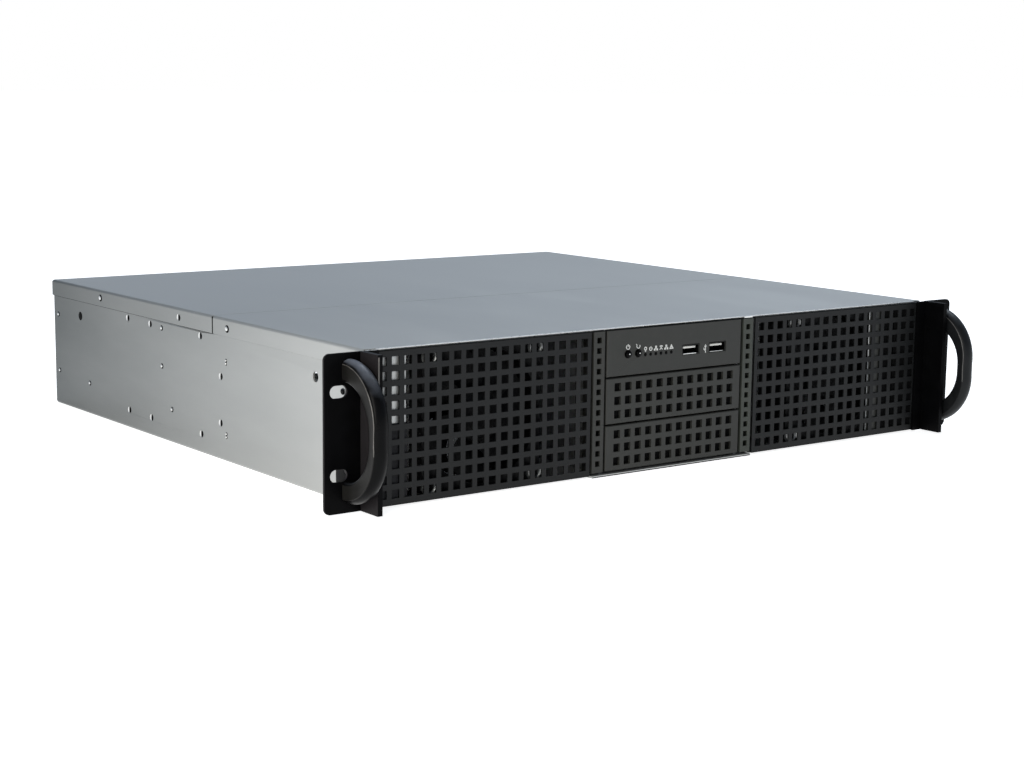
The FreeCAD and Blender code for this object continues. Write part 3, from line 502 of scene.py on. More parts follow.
dress(["chassis_tray", "front_cover", "rear_cover", "rear_wall"], STEEL, 0.12 * MM)
dress(["cross_brace", "psu_bracket", "drive_cage"], INNER_STEEL, 0.12 * MM)
dress(["left_fan_bracket", "right_fan_bracket"], ZINC_AND_HIGHLIGHT, 0.12 * MM)
dress(["slot_covers"], BRIGHT_STEEL, 0.12 * MM)
dress(["left_ear"], LIT_EAR_COAT, 0.2 * MM)
dress(["right_ear"], EAR_COAT, 0.2 * MM)
dress(["left_grille", "right_grille"], COAT, 0.1 * MM)
dress(["left_trim_strip"], PLASTIC_AND_PAINTED_LIGHT, 0.1 * MM)
dress(["right_trim_strip"], STRIP, 0.1 * MM)
dress(["upper_bay_cover", "lower_bay_cover", "control_panel"], PLASTIC_AND_PAINTED_LIGHT, 0.12 * MM)
dress(["power_button", "reset_button"], BUTTON, 0.15 * MM)
dress(["tact_switches"], SWITCH, 0.15 * MM)
dress(["status_lights"], LAMP_AND_RING_SHADE, 0.1 * MM)
dress(["usb_shells"], PORT_SHELL_PAINTED_SHADE, 0.06 * MM)
dress(["usb_tongues"], TONGUE, 0.1 * MM)
dress(["control_board"], BOARD, 0.1 * MM)
dress(["fan_housings", "left_fan_rotor", "right_fan_rotor"], FAN, 0.2 * MM)
dress(["standoffs"], BRASS, 0.15 * MM)


# ---- Making new pieces ----
def piece(name, bm, finish, slot, body="case", sharp=35):
    """Turns a bmesh into a smooth-shaded piece that rides on a body."""
    bmesh.ops.recalc_face_normals(bm, faces=bm.faces)
    mesh = bpy.data.meshes.new(name)
    bm.to_mesh(mesh)
    bm.free()
    mesh.polygons.foreach_set("use_smooth", [True] * len(mesh.polygons))
    mesh.set_sharp_from_angle(angle=math.radians(sharp))
    mesh.materials.append(finish)
    made = bpy.data.objects.new(name, mesh)
    bpy.context.scene.collection.objects.link(made)
    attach(made, body)
    return made


def ring_faces(bm, rings, closed=False):
    """Quads between neighbouring rings of corners; a ring of one corner closes the end."""
    pairs = list(zip(rings, rings[1:]))
    if closed:
        pairs.append((rings[-1], rings[0]))
    for lower, upper in pairs:
        count = max(len(lower), len(upper))
        for k in range(count):
            following = (k + 1) % count
            corners = [lower[k % len(lower)], lower[following % len(lower)]]
            corners += [upper[following % len(upper)], upper[k % len(upper)]]
            bm.faces.new(list(dict.fromkeys(corners)))


def turned(bm, profile, place, axis, sides=24):
    """A lathe-turned shape on an axis, from pairs of radius and height."""
    turn = axis.to_track_quat("Z", "Y").to_matrix()
    rings = []
    for radius, height in profile:
        angles = [2 * math.pi * k / sides for k in range(sides if radius else 1)]
        points = [Vector((radius * math.cos(a), radius * math.sin(a), height)) for a in angles]
        rings.append([bm.verts.new(place + turn @ point) for point in points])
    ring_faces(bm, rings)


def screw(bm, place, axis, radius, height):
    """Pan head with a cross recess, standing on a face."""
    turn = axis.to_track_quat("Z", "Y").to_matrix()
    sides = 24

    def ring(points, up):
        return [bm.verts.new(place + turn @ Vector((u, v, up))) for u, v in points]

    def circle(size):
        angles = [2 * math.pi * k / sides for k in range(sides)]
        return [(size * math.cos(a), size * math.sin(a)) for a in angles]

    arm, half = 0.5 * radius, 0.12 * radius
    cross = [(half, half), (half, arm), (-half, arm), (-half, half), (-arm, half), (-arm, -half)]
    cross += [(-half, -half), (-half, -arm), (half, -arm), (half, -half), (arm, -half), (arm, half)]
    foot = ring([(0, 0)], 0)
    rings = [foot, ring(circle(radius), 0), ring(circle(radius), 0.4 * height)]
    rings += [ring(circle(0.88 * radius), 0.8 * height), ring(circle(0.66 * radius), height)]
    ring_faces(bm, rings)
    mouth, pit = ring(cross, height), ring(cross, 0.35 * height)
    ring_faces(bm, [mouth, pit])
    bm.faces.new(pit)
    edges = []
    for loop in (rings[-1], mouth):
        for k, corner in enumerate(loop):
            following = loop[(k + 1) % len(loop)]
            edges.append(bm.edges.get((corner, following)) or bm.edges.new((corner, following)))
    bmesh.ops.triangle_fill(bm, use_beauty=True, edges=edges)


def slab(bm, low, high, out, height, ease):
    """A plate standing on a flat face: corners low and high span the face, and its edges are eased."""
    up = Vector((0, 0, 1)) if abs(out.z) < 0.5 else Vector((0, 1, 0))
    across = up.cross(out)
    middle, reach = (low + high) / 2, (high - low) / 2
    half_u, half_v = abs(reach.dot(across)), abs(reach.dot(up))
    corner = min(half_u, half_v, 3 * ease)

    def ring(inset, rise):
        points = []
        for turn, (u, v) in enumerate(((1, 1), (-1, 1), (-1, -1), (1, -1))):
            for step in range(4):
                angle = math.pi / 2 * (turn + step / 3)
                x = u * (half_u - corner) + (corner - inset) * math.cos(angle)
                y = v * (half_v - corner) + (corner - inset) * math.sin(angle)
                points.append(bm.verts.new(middle + across * x + up * y + out * rise))
        return points

    rings = [ring(0, 0), ring(0, height - ease), ring(0.3 * ease, height - 0.3 * ease), ring(ease, height)]
    ring_faces(bm, rings)
    bm.faces.new(rings[0])
    bm.faces.new(rings[-1])


def plate(bm, x, y, z, out, height, ease):
    """A slab given by its two ends along each axis."""
    slab(bm, Vector((x[0], y[0], z[0])), Vector((x[1], y[1], z[1])), out, height, ease)


def ribbon(bm, points, width, depth, place, closed=False):
    """A thin printed line on a face that looks towards -Y, along points (across, up)."""
    path = [Vector(point) for point in points]
    count = len(path)
    left, right = [], []
    for i, point in enumerate(path):
        before = path[i - 1] if i or closed else None
        after = path[(i + 1) % count] if i + 1 < count or closed else None
        runs = []
        if before is not None:
            runs.append((point - before).normalized())
        if after is not None:
            runs.append((after - point).normalized())
        along = sum(runs, Vector((0, 0))).normalized()
        out = Vector((-along.y, along.x))
        reach = width / 2 / max(0.4, math.cos(runs[0].angle(runs[-1]) / 2))
        left.append(point + out * reach)
        right.append(point - out * reach)
    rings = []
    for a, b in zip(left, right):
        corners = [(a, 0), (b, 0), (b, -depth), (a, -depth)]
        rings.append([bm.verts.new(place + Vector((p.x, y, p.y))) for p, y in corners])
    ring_faces(bm, rings, closed)
    if not closed:
        bm.faces.new(rings[0])
        bm.faces.new(rings[-1])


def arc(radius, start, end, steps=16, middle=(0, 0)):
    """Points (across, up) on a circle, between two angles in degrees."""
    angles = [math.radians(start + (end - start) * k / steps) for k in range(steps + 1)]
    return [(middle[0] + radius * math.cos(a), middle[1] + radius * math.sin(a)) for a in angles]


# ---- Handles ----
def bow(half_height, reach, radius, middle):
    """Stations (y, z) round a handle's bow, from the upper foot to the lower."""
    centre_y, centre_z = radius - reach, half_height - radius
    quarter = [math.radians(90 + 90 * k / ARC_STEPS) for k in range(ARC_STEPS + 1)]
    upper = [(0.0, half_height), (centre_y / 2, half_height)]
    upper += [(centre_y + radius * math.cos(a), centre_z + radius * math.sin(a)) for a in quarter]
    upper.append((-reach, centre_z / 2))
    lower = [(y, -z) for y, z in reversed(upper)]
    return [Vector((y, middle + z)) for y, z in upper + lower]


def handle(name, side, crown_finish, flank_finish):
    """Bow with a crowned outer face, flat sides and eased inner edges."""
    middle_z = (handles_low.z + handles_high.z) / 2
    half_height = (handles_high.z - handles_low.z) / 2
    reach = -handles_low.y
    outer = bow(half_height, reach, BOW_RADIUS, middle_z)
    inner = bow(half_height - HANDLE_FOOT, reach - HANDLE_THICKNESS, GRIP_RADIUS, middle_z)
    half_width = HANDLE_WIDTH / 2
    middle_x = side * (handles_high.x - half_width)
    crown_radius = (half_width ** 2 + HANDLE_CROWN ** 2) / (2 * HANDLE_CROWN)
    edge = math.asin(half_width / crown_radius)
    turns = [edge * (1 - 2 * k / CROWN_STEPS) for k in range(CROWN_STEPS + 1)]
    crown = [(crown_radius * math.sin(t), crown_radius * (1 - math.cos(t))) for t in turns]
    for end, sign in ((0, 1), (-1, -1)):
        x, fall = crown[end]
        inner_edge = (x - sign * HANDLE_EDGE, fall)
        outer_edge = (x, fall + HANDLE_EDGE)
        crown[end:end + 1 or None] = [outer_edge, inner_edge] if end == 0 else [inner_edge, outer_edge]
    turns = [math.pi / 2 * k / EASE_STEPS for k in range(EASE_STEPS + 1)]
    ease = [(HANDLE_EASE * (1 - math.cos(t)), HANDLE_EASE * (1 - math.sin(t))) for t in turns]
    bm = bmesh.new()
    rings = []
    for far, near in zip(outer, inner):
        inward = (near - far).normalized()
        section = [(x, far + inward * fall) for x, fall in crown]
        section += [(across - half_width, near - inward * rise) for across, rise in ease]
        section += [(half_width - across, near - inward * rise) for across, rise in reversed(ease)]
        rings.append([bm.verts.new((middle_x + x, point.x, point.y)) for x, point in section])
    ring_faces(bm, rings)
    bm.faces.new(rings[0])
    bm.faces.new(rings[-1])
    bmesh.ops.recalc_face_normals(bm, faces=bm.faces)
    # The flat sides take the flank finish; the crown's edge strips take the painted edge highlight down to a
    # little under the middle and the flank finish below; lower faces that look up take the ear's coat, which
    # has no painted sheen.
    flank = half_width - 0.01 * MM
    for face in bm.faces:
        reaches = [abs(corner.co.x - middle_x) for corner in face.verts]
        if min(reaches) > flank:
            face.material_index = 1
        elif abs(min(reaches) - half_width + HANDLE_EDGE) < 0.01 * MM and max(reaches) > flank:
            face.material_index = 2 if face.calc_center_median().z > middle_z - HANDLE_HIGHLIGHT_BELOW else 1
        elif face.calc_center_median().z < middle_z and face.normal.z > 0.35:
            face.material_index = 3
    made = piece(name, bm, crown_finish, "black_steel", sharp=33)
    for finish in (flank_finish, EDGE_HIGHLIGHT, EAR_COAT):
        made.data.materials.append(finish)
    return made


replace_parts(handle("left_handle_bow", -1, SATIN_PAINTED_SHEEN, LEFT_FLANK_PAINTED_LIGHT), "handles")
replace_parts(handle("right_handle_bow", 1, RIGHT_HANDLE_PAINTED_LIGHT, RIGHT_HANDLE_PAINTED_LIGHT), "handles")


# ---- Side walls ----
def on_wall(side, place, face=WALL_X):
    """A point on a side of the case, from its distance behind the ears and height above the underside."""
    return Vector((side * face, place[0] * MM, UNDERSIDE + place[1] * MM))


def crescent(bm, place, out, radius):
    """Painted highlight for the lit rear wall of a punched hole: a bright face that leans to the front."""
    sections = []
    for k in range(CRESCENT_STEPS + 1):
        angle = CRESCENT_REACH * (2 * k / CRESCENT_STEPS - 1)
        y, z = radius * math.cos(angle), radius * math.sin(angle)
        rim = place + Vector((0, y, z))
        lip = place + Vector((0, y * CRESCENT_INNER, z))
        corners = (rim + out * CRESCENT_RISE[0], lip + out * CRESCENT_RISE[1], rim)
        sections.append([bm.verts.new(corner) for corner in corners])
    ring_faces(bm, sections)
    bm.faces.new(sections[0])
    bm.faces.new(sections[-1])


def disc(bm, place, out, radius, rise, sides=24):
    """Thin round plate with an eased edge."""
    profile = [(0, 0), (radius, 0), (radius, rise - HAIR), (radius - THIN_EASE, rise), (0, rise)]
    turned(bm, profile, place, out, sides)


def stud(bright, dark, place, out, radius):
    """Clinched fastener: a bright middle in a dark disc of painted shade for its sunk ring."""
    forward = Vector((0, -STUD_SHIFT * radius, 0))
    disc(dark, place + forward, out, radius, SHADOW_RISE)
    middle = place - STUD_SETBACK * forward
    turned(bright, [(share * radius, height * MM) for share, height in STUD_DOME], middle, out, 16)


def flange_lines(side, dark):
    """Painted shadow lines under the covers' flanges, and the seam between the two flanges."""
    out = Vector((side, 0, 0))

    def line(face, y, z, rise):
        plate(dark, (side * face, side * face), y, z, out, rise, HAIR)

    seam_y = (front_lid_high.y + rear_lid_low.y) / 2
    seam_half = (rear_lid_low.y - front_lid_high.y) / 2 - HAIR
    rear_foot, front_foot = rear_lid_low.z, front_lid_low.z
    seam_z = (rear_foot + SEAM_FOOT, LID_TOP - SEAM_HEAD)
    line(LID_X - SEAM_SINK, (seam_y - seam_half, seam_y + seam_half), seam_z, SEAM_RISE)
    rear_y = (rear_lid_low.y, rear_lid_high.y - REAR_LINE_END)
    line(WALL_X, rear_y, (rear_foot - REAR_LINE, rear_foot - LINE_GAP), LINE_RISE)
    front_y = (front_lid_low.y, front_lid_high.y)
    line(WALL_X, front_y, (front_foot - FRONT_LINE, front_foot - LINE_GAP), LINE_RISE)
    mark_y = (front_lid_high.y - SEAM_MARK_REACH, rear_lid_low.y + SEAM_MARK_REACH)
    line(LID_X - SEAM_MARK_SINK, mark_y, (rear_foot, LID_TOP - SEAM_MARK_HEAD), SEAM_MARK_RISE)


def wall_marks(side, word):
    """Holes with painted shade and highlights, fasteners, the ear's tab and painted shadow lines at the
    covers' edges, on one side of the case.
    """
    out = Vector((side, 0, 0))
    rims, shadows, studs, screws = bmesh.new(), bmesh.new(), bmesh.new(), bmesh.new()
    tabs, tab_screws = bmesh.new(), bmesh.new()
    holes = [on_wall(side, place) for place in WALL_HOLES]
    holes += [on_wall(side, place, LID_X) for place in LID_HOLES]
    for place in holes:
        crescent(rims, place, out, HOLE_RADIUS)
        disc(shadows, place, out, HOLE_RADIUS, SHADOW_RISE)
    for y in RAIL_HOLES_Y:
        for z in RAIL_HOLES_Z:
            place = Vector((side * WALL_X, y, z))
            crescent(rims, place, out, RAIL_HOLE_RADIUS)
            rail_shade = place - out * RAIL_SHADE_DEPTH
            disc(shadows, rail_shade, out, RAIL_HOLE_RADIUS - RAIL_SHADE_PLAY, RAIL_SHADE_RISE)
    for place in RIVETS + REAR_SCREWS:
        stud(studs, shadows, on_wall(side, place), out, RIVET_RADIUS)
    for place in LANCES:
        stud(studs, shadows, on_wall(side, place), out, LANCE_RADIUS)
    for place in LID_SCREWS:
        stud(screws, shadows, on_wall(side, place, LID_X), out, LID_SCREW_RADIUS)
    disc(shadows, on_wall(side, TALL_HOLE), out, TALL_HOLE_RADIUS, SHADOW_RISE)
    low, high = (on_wall(side, corner) for corner in EAR_TAB)
    slab(tabs, low, high, out, EAR_TAB_RISE, EAR_TAB_EASE)
    screw(tab_screws, on_wall(side, EAR_TAB_SCREW, WALL_X + EAR_TAB_RISE), out, *EAR_TAB_HEAD)
    screw(tab_screws, on_wall(side, EAR_SCREW), out, *EAR_SCREW_HEAD)
    flange_lines(side, shadows)
    piece(f"{word}_wall_rim_highlights", rims, ZINC_AND_HIGHLIGHT, "galvanised_steel")
    piece(f"{word}_wall_shadows", shadows, VOID, "black_steel")
    piece(f"{word}_wall_studs", studs, ZINC_AND_HIGHLIGHT, "galvanised_steel")
    piece(f"{word}_cover_screws", screws, ZINC_AND_HIGHLIGHT, "galvanised_steel")
    piece(f"{word}_ear_tab", tabs, EAR_COAT, "black_steel")
    piece(f"{word}_ear_screws", tab_screws, SATIN_PAINTED_SHEEN, "black_steel")


for side, word in ((-1, "left"), (1, "right")):
    wall_marks(side, word)


# ---- Behind the grilles ----
def flange_shade_sheets(side, word, top, finish):
    """Painted shade: a thin dark sheet between a grille and the flange behind it, darkening the flange where
    it shows through the holes.
    """
    outer, inner = side * (WALL_X - PAINT_SHEET_INSET), side * (WALL_X - FLANGE_WIDTH)
    out, z = Vector((0, -1, 0)), (UNDERSIDE + PAINT_SHEET_INSET, top)
    bm = bmesh.new()
    across = (min(outer, inner), max(outer, inner))
    plate(bm, across, (PAINT_SHEET_BACK, PAINT_SHEET_BACK), z, out, PAINT_SHEET_DEPTH, PAINT_SHEET_EASE)
    lip, lip_y = side * PAINT_SHEET_LIP, PAINT_SHEET_BACK + PAINT_SHEET_LIP_DEPTH
    across = (min(inner, inner - lip), max(inner, inner - lip))
    plate(bm, across, (lip_y, lip_y), z, out, PAINT_SHEET_DEPTH + PAINT_SHEET_LIP_DEPTH, PAINT_SHEET_EASE)
    piece(f"{word}_grille_shade_sheet", bm, finish, "black_plastic")


def blade(bm, centre, start, hub, tip, front, back):
    """One swept, pitched and cambered fan blade from the hub to its tip."""
    along, across = BLADE_STEPS
    faces = []
    for thickness in (BLADE_HALF_THICKNESS, -BLADE_HALF_THICKNESS):
        rows = []
        for i in range(along + 1):
            share = i / along
            radius = hub + (tip - hub) * share
            sweep = BLADE_SWEEP * share * share
            span = math.radians(BLADE_SPAN[0] + BLADE_SPAN[1] * share)
            rise = (back - front) * (BLADE_RISE[0] - BLADE_RISE[1] * share) / 2
            corners = []
            for j in range(across + 1):
                chord = 2 * j / across - 1
                angle = start + sweep + span * chord / 2
                camber = BLADE_CAMBER * (back - front) * (1 - chord * chord)
                thin = thickness * (1 - BLADE_THINNING * chord * chord)
                x, z = centre.x + radius * math.cos(angle), centre.z + radius * math.sin(angle)
                corners.append(bm.verts.new((x, (front + back) / 2 + rise * chord - camber + thin, z)))
            rows.append(corners)
        faces.append(rows)
    loops = [upper + lower[::-1] for upper, lower in zip(*faces)]
    ring_faces(bm, loops)
    bm.faces.new(loops[0])
    bm.faces.new(loops[-1])


def rotor(name, side, body):
    """Fan rotor: rounded hub with a shallow ring, and curved blades."""
    low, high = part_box(body)
    centre = Vector(((low.x + high.x) / 2, 0, (low.z + high.z) / 2))
    tip = (high.x - low.x) / 2 - BLADE_GAP / 2
    bm = bmesh.new()
    front, back = low.y, high.y
    depth = back - front
    profile = [(0, HUB_FACE[0][1] * MM)]
    profile += [(HUB_RADIUS - inset * MM, height * MM) for inset, height in HUB_FACE]
    profile += [(HUB_RADIUS, depth), (0, depth)]
    turned(bm, profile, centre + Vector((0, front, 0)), Vector((0, 1, 0)), 48)
    root, blades_front, blades_back = HUB_RADIUS - BLADE_ROOT, front + BLADE_MARGIN, back - BLADE_MARGIN
    for k in range(BLADES):
        start = 2 * math.pi * k / BLADES
        blade(bm, centre, side * start, root, tip, blades_front, blades_back)
    made = piece(name, bm, FAN, "fan_plastic", body=body, sharp=40)
    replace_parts(made, body)


def bracket_edge():
    """Painted light and shade on the folded front edge of the right fan's bracket, behind one column of the
    grille's holes: a lit face, dark shade beside it, and a highlight along the fold above a given height.
    """
    low, high = UNDERSIDE + PAINT_SHEET_INSET, RIGHT_SHADE_TOP
    strips = (
        ("right_bracket_face_light", BRACKET_FOLD[1:3], (low, high), PLASTIC_AND_PAINTED_LIGHT),
        ("right_bracket_shadow", BRACKET_FOLD[2:4], (low, high), SHADE_SHEET),
        ("right_bracket_edge_highlight", BRACKET_FOLD[:2], (BRACKET_LIT, high), ZINC_AND_HIGHLIGHT),
        ("right_bracket_foot", BRACKET_FOLD[:2], (low, BRACKET_LIT), INNER_STEEL),
    )
    for name, across, up, finish in strips:
        bm = bmesh.new()
        plate(bm, across, (PAINT_SHEET_BACK, PAINT_SHEET_BACK), up, Vector((0, -1, 0)), PAINT_SHEET_DEPTH, THIN_EASE)
        piece(name, bm, finish, "black_steel")


def fan_screws(side, word):
    """Dark screws in bright cupped washers at a fan's corners, with painted glints on the washers' rims."""
    washers, heads, rims = bmesh.new(), bmesh.new(), bmesh.new()
    out = Vector((0, -1, 0))
    reach = Vector((RIM_GLINT_HALF[0], 0, RIM_GLINT_HALF[1]))
    for across in (-FAN_SCREW_SPREAD, FAN_SCREW_SPREAD):
        for up in (-FAN_SCREW_SPREAD, FAN_SCREW_SPREAD):
            place = Vector((side * FAN_X + across, fans_low.y, FAN_Z + up))
            turned(washers, [(radius * MM, height * MM) for radius, height in WASHER], place, out, 32)
            screw(heads, place, out, *FAN_SCREW_HEAD)
            for sideways in (-RIM_GLINT, RIM_GLINT):
                middle = place + Vector((sideways, 0, 0))
                slab(rims, middle - reach, middle + reach, out, RIM_GLINT_RISE, THIN_EASE)
    piece(f"{word}_fan_washers", washers, INNER_STEEL, "galvanised_steel")
    piece(f"{word}_washer_rim_highlights", rims, ZINC_AND_HIGHLIGHT, "galvanised_steel")
    piece(f"{word}_fan_screws", heads, SATIN_PAINTED_SHEEN, "black_steel")


flange_shade_sheets(-1, "left", LEFT_SHADE_TOP, FLANGE_SHADE)
flange_shade_sheets(1, "right", RIGHT_SHADE_TOP, SHADE_SHEET)
bracket_edge()
for side, word in ((-1, "left"), (1, "right")):
    rotor(f"{word}_fan_blades", side, f"{word}_fan_rotor")
    fan_screws(side, word)


def bay_shade_sheet(name, node):
    """Painted shade: a black sheet pressed in behind a bay cover's holes."""
    low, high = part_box(node)
    back = low.y + BAY_SHADE_SETBACK
    x, z = ((start + BAY_SHADE_INSET, end - BAY_SHADE_INSET) for start, end in ((low.x, high.x), (low.z, high.z)))
    bm = bmesh.new()
    plate(bm, x, (back, back), z, Vector((0, -1, 0)), BAY_SHADE_DEPTH, BAY_SHADE_EASE)
    piece(name, bm, SHADE_SHEET, "black_plastic")


bay_shade_sheet("upper_bay_shade_sheet", "upper_bay_cover")
bay_shade_sheet("lower_bay_shade_sheet", "lower_bay_cover")


# ---- Control panel ----
def button_cap(name, body, radius):
    """Domed glossy cap on a button, with a pale dot of painted highlight for its light spot."""
    low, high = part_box(body)
    out = Vector((0, -1, 0))
    centre = Vector(((low.x + high.x) / 2, low.y, (low.z + high.z) / 2))
    bm = bmesh.new()
    turned(bm, [(share * radius, height * MM) for share, height in CAP_DOME], centre, out, 32)
    piece(name, bm, BUTTON, "switch_plastic", body=body, sharp=50)
    glint_dot = bmesh.new()
    middle = centre + Vector((GLINT_SHIFT * radius, -GLINT_LIFT, GLINT_SHIFT * radius))
    turned(glint_dot, [(share * radius, height * MM) for share, height in GLINT_DOME], middle, out, 16)
    piece(f"{name}_pip", glint_dot, PRINT_AND_GLINT, "switch_plastic", body=body, sharp=50)


def icon(name, strokes, centre, width=INK_WIDTH):
    """Printed strokes on the panel's face; each is a list of points and whether it closes."""
    bm = bmesh.new()
    for points, closed in strokes:
        scaled = [(x * MM, z * MM) for x, z in points]
        ribbon(bm, scaled, width, INK_DEPTH, Vector(centre), closed)
    piece(name, bm, PRINT_AND_GLINT, "lamp_plastic")


def ring_stroke(radius, middle=(0, 0)):
    """A closed round stroke, in mm."""
    return (arc(radius, 0, 345, 16, middle), True)


def frame_stroke(low, high):
    """A closed square stroke between two corners, in mm."""
    return ([(low[0], low[1]), (high[0], low[1]), (high[0], high[1]), (low[0], high[1])], True)


# Strokes of the symbols, in mm from each one's middle
POWER = [(arc(1.3, 125, 415), False), ([(0, 0.2), (0, 1.7)], False)]
RESTART = [(arc(1.2, 150, 390), False), ([(-1.7, 1.3), (-1.0, 0.6)], False)]
BULB = [ring_stroke(0.85, (0, 0.35)), ([(-0.45, -1.1), (0.45, -1.1)], False)]
DRIVE = [(arc(1.0, 60, 420), False), ([(-0.1, 0.0), (0.9, 0.9)], False)]
LINK = [
    frame_stroke((-0.4, 0.5), (0.4, 1.2)), ([(-0.9, -0.3), (0, 0.3), (0.9, -0.3)], False),
    frame_stroke((-1.3, -1.1), (-0.6, -0.5)), frame_stroke((0.6, -1.1), (1.3, -0.5)),
]
CROSS = [
    ([(-1.1, -1.1), (1.1, 1.1)], False), ([(-1.1, 1.1), (1.1, -1.1)], False),
    ([(-0.5, 1.2), (0.5, 1.2)], False),
]
WARNING = [([(-1.25, -1.0), (1.25, -1.0), (0, 1.15)], True), ([(0, -0.5), (0, 0.3)], False)]
TWO_WAY = [
    ([(0, -2.4), (0, 1.9)], False), ([(-0.7, 1.2), (0, 2.2), (0.7, 1.2)], False),
    ([(-1.2, 0.6), (-1.2, -0.3), (0, -1.3)], False),
]


def panel_front():
    """Symbols, lamp windows and painted shade rings round the buttons on the control panel's face."""
    face, out = 0.0, Vector((0, -1, 0))
    low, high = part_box("status_lights")
    lamp_z, lamp_radius = (low.z + high.z) / 2, (high.z - low.z) / 2
    first, last = low.x + lamp_radius, high.x - lamp_radius
    lamps_x = [first + (last - first) * k / (LAMPS - 1) for k in range(LAMPS)]
    for k, (x, strokes) in enumerate(zip(lamps_x, (BULB, DRIVE, LINK, CROSS, LINK, WARNING))):
        icon(f"lamp_sign_{k + 1}", strokes, (x, face, lamp_z + LAMP_SIGN_RISE))
    windows = bmesh.new()
    for x in lamps_x:
        disc(windows, Vector((x, face, lamp_z)), out, LAMP_WINDOW, LAMP_WINDOW_RISE)
    ring_shade = [(radius * MM, height * MM) for radius, height in BUTTON_RING_SHADE]
    buttons = []
    for body in ("power_button", "reset_button"):
        low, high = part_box(body)
        buttons.append(((low.x + high.x) / 2, (low.z + high.z) / 2))
        turned(windows, ring_shade, Vector((buttons[-1][0], face, buttons[-1][1])), out, 32)
    piece("panel_windows", windows, LAMP_AND_RING_SHADE, "lamp_plastic")
    for name, strokes, (x, z) in zip(("power_sign", "restart_sign"), (POWER, RESTART), buttons):
        icon(name, strokes, (x, face, z + BUTTON_SIGN_RISE))
    low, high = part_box("usb_shells")
    port_z = (low.z + high.z) / 2 - PORT_SIGN_DROP
    icon("port_sign", TWO_WAY, (PORT_SIGN_X, face, port_z), PORT_SIGN_WIDTH)


panel_front()
button_cap("power_cap", "power_button", POWER_CAP_RADIUS)
button_cap("reset_cap", "reset_button", RESET_CAP_RADIUS)


def rear_screws():
    """The power supply's four screws, at the corners of its opening."""
    bm = bmesh.new()
    for x in (PSU_X - PSU_SCREW_SPREAD, PSU_X + PSU_SCREW_SPREAD):
        for z in PSU_SCREW_HEIGHTS:
            place = Vector((x, rear_wall_high.y, rear_wall_low.z + z))
            screw(bm, place, Vector((0, 1, 0)), *PSU_SCREW_HEAD)
    piece("rear_screws", bm, SATIN_PAINTED_SHEEN, "black_steel")


rear_screws()


# ---- Painted highlights and shade at the front of the cover ----
def cover_front():
    """A bright tab, painted highlights and painted shade at the front of the cover, and the joint between the
    two covers.
    """
    down, front = Vector((0, 0, -1)), Vector((0, -1, 0))
    edge_y = front_lid_low.y
    bright, dark, wing, joint = bmesh.new(), bmesh.new(), bmesh.new(), bmesh.new()
    tab_x, top = (strip_low.x + TAB_INSET, strip_high.x - TAB_INSET), (LID_TOP, LID_TOP)
    plate(bright, tab_x, (0, edge_y), top, down, TAB_DEPTH, TAB_EASE)
    glint_z = (LID_TOP - CORNER_GLINT_HEIGHT, LID_TOP - HAIR)
    for ends in CORNER_GLINTS:
        plate(bright, ends, (0, 0), glint_z, front, CORNER_GLINT_RISE, GLINT_EASE)
    edge_x, edge_z = (-COVER_EDGE, COVER_EDGE), LID_TOP - COVER_EDGE_DROP
    plate(bright, edge_x, (COVER_LIP, edge_y), (edge_z, edge_z), down, COVER_EDGE_HEIGHT, COVER_EDGE_EASE)
    gap_z = (LID_TOP - COVER_GAP[0], LID_TOP - COVER_GAP[1])
    plate(dark, edge_x, (0, 0), gap_z, front, COVER_GAP_RISE, FINE_EASE)
    lip_x, lip_y = (-strip_high.x, strip_high.x), (tray_low.y, tray_low.y)
    lip_z = (UNDERSIDE + HAIR, UNDERSIDE + LIP_SHADE_HEIGHT)
    plate(dark, lip_x, lip_y, lip_z, front, LIP_SHADE_RISE, FINE_EASE)
    wing_z = tuple(share * ear_high.z for share in WING_SPAN)
    plate(wing, WING_EDGE, (ear_low.y, ear_low.y), wing_z, front, WING_RISE, HAIR)
    joint_x, joint_z = (-LID_X + JOINT_INSET, LID_X - JOINT_INSET), LID_TOP - JOINT_SINK
    joint_y = (front_lid_high.y - JOINT_REACH, rear_lid_low.y + JOINT_REACH)
    plate(joint, joint_x, joint_y, (joint_z, joint_z), -down, JOINT_RISE, HAIR)
    piece("left_wing_edge_highlight", wing, EDGE_HIGHLIGHT, "black_steel")
    piece("cover_front_tab_and_highlights", bright, ZINC_AND_HIGHLIGHT, "galvanised_steel")
    piece("cover_front_shade", dark, VOID, "black_steel")
    piece("cover_joint", joint, STEEL, "galvanised_steel")


cover_front()


def port_lips():
    """Painted highlights on the two ports' lower edges, and the pale tongues in them."""
    low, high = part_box("usb_shells")
    tongues_low, tongues_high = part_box("usb_tongues")
    out, foot = Vector((0, -1, 0)), low.z + PORT_LIP_LIFT
    tongue_y, tongue_z = tongues_high.y, (tongues_high.z - TONGUE_HEIGHT, tongues_high.z)
    lips, tongues = bmesh.new(), bmesh.new()
    for left, rise in zip((low.x, high.x - PORT_WIDTH), PORT_LIP_HEIGHTS):
        right = left + PORT_WIDTH
        across = (left + PORT_LIP_INSETS[0], right - PORT_LIP_INSETS[1])
        plate(lips, across, (low.y, low.y), (foot, foot + rise), out, PORT_LIP_RISE, GLINT_EASE)
        across = (left + TONGUE_INSETS[0], right - TONGUE_INSETS[1])
        plate(tongues, across, (tongue_y, tongue_y), tongue_z, out, tongue_y - tongues_low.y, TONGUE_EASE)
    piece("port_lips", lips, ZINC_AND_HIGHLIGHT, "port_shell")
    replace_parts(piece("port_tongue_bars", tongues, TONGUE, "port_tongue"), "usb_tongues")


port_lips()


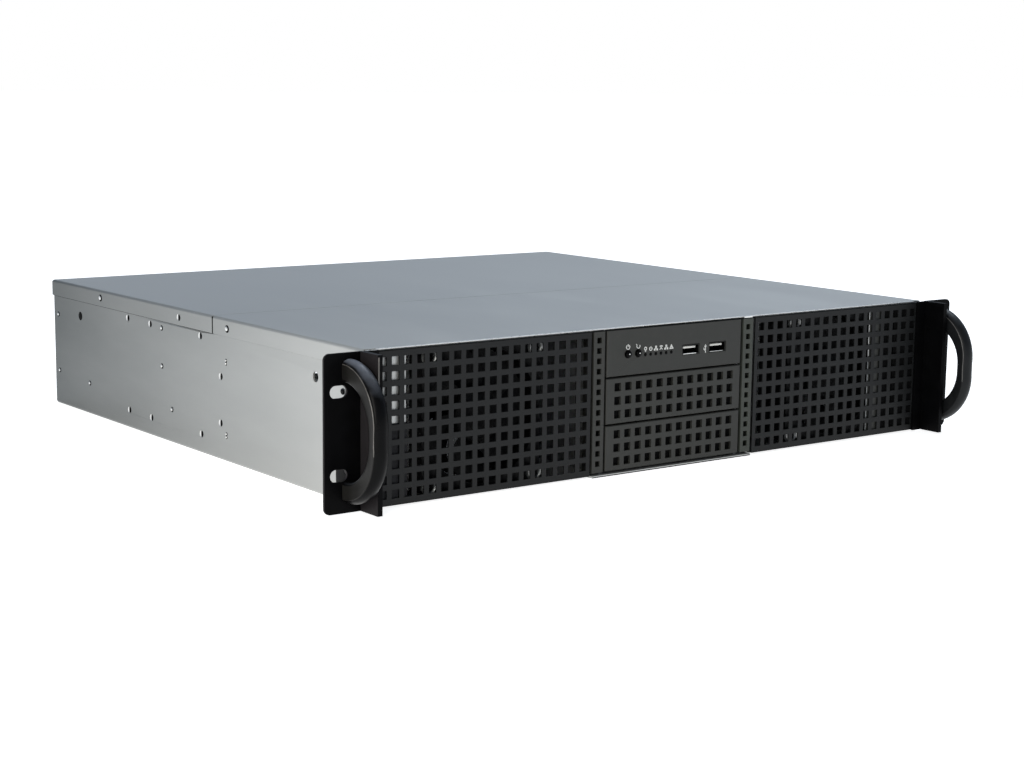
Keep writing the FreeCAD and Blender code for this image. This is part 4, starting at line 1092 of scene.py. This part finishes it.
# ---- Camera, floor and light ----
def camera():
    """The photograph's view."""
    data = bpy.data.cameras.new("camera")
    data.lens = LENS_MM
    data.sensor_width = SENSOR_MM
    data.clip_start, data.clip_end = CAMERA_CLIP
    made = bpy.data.objects.new("camera", data)
    flat = math.cos(CAMERA_ELEVATION)
    heading = (math.sin(CAMERA_AZIMUTH) * flat, -math.cos(CAMERA_AZIMUTH) * flat)
    back = Vector((*heading, math.sin(CAMERA_ELEVATION)))
    right = Vector((0, 0, 1)).cross(back).normalized()
    turn = Matrix((right, back.cross(right), back)).transposed().to_4x4()
    tilt = Matrix.Rotation(CAMERA_ROLL, 4, "Z")
    made.matrix_world = Matrix.Translation(CAMERA_PLACE) @ turn @ tilt
    bpy.context.scene.collection.objects.link(made)
    bpy.context.scene.camera = made


def floor():
    """Pale flat sheet of paper that glows a little, so that its shadows stay faint."""
    bm = bmesh.new()
    z = cad_bounds[0].z - FLOOR_GAP
    half = FLOOR_SIZE / 2
    corners = ((-half, -half), (half, -half), (half, half), (-half, half))
    bm.faces.new([bm.verts.new((x, y, z)) for x, y in corners])
    mesh = bpy.data.meshes.new("floor")
    bm.to_mesh(mesh)
    bm.free()
    made = bpy.data.objects.new("floor", mesh)
    tones = ((0.88, 0.88, 0.88), (0.9, 0.9, 0.9))
    paper = material("floor_paper", tones, 0.5, (0.85, 0.9), height=0.001 * MM)
    shader = paper.node_tree.nodes["Principled BSDF"]
    shader.inputs["Emission Strength"].default_value = GLOW
    shader.inputs["Emission Color"].default_value = (1, 1, 1, 1)
    mesh.materials.append(paper)
    bpy.context.scene.collection.objects.link(made)


def softbox(name, place, target, size, watts, colour):
    """A soft rectangular light that looks at a target."""
    data = bpy.data.lights.new(name, "AREA")
    data.shape = "RECTANGLE"
    data.size, data.size_y = size
    data.energy = watts
    data.color = colour
    made = bpy.data.objects.new(name, data)
    made.location = place
    made.rotation_euler = (Vector(target) - Vector(place)).to_track_quat("-Z", "Y").to_euler()
    bpy.context.scene.collection.objects.link(made)


def sky():
    """White at the horizon, and a cool soft light above it."""
    world = bpy.data.worlds.new("studio")
    bpy.context.scene.world = world
    world.use_nodes = True
    nodes, links = world.node_tree.nodes, world.node_tree.links
    background = nodes["Background"]
    coordinates = nodes.new("ShaderNodeTexCoord")
    split = nodes.new("ShaderNodeSeparateXYZ")
    ramp = nodes.new("ShaderNodeValToRGB")
    links.new(coordinates.outputs["Generated"], split.inputs["Vector"])
    links.new(split.outputs["Z"], ramp.inputs["Fac"])
    elements = ramp.color_ramp.elements
    while len(elements) < len(SKY):
        elements.new(0.5)
    for element, (place, colour) in zip(elements, SKY):
        element.position = place
        element.color = (*colour, 1.0)
    links.new(ramp.outputs["Color"], background.inputs["Color"])
    background.inputs["Strength"].default_value = 1.0


camera()
floor()
sky()
for box in SOFTBOXES:
    softbox(*box)
bpy.context.scene.view_settings.view_transform = "Standard"
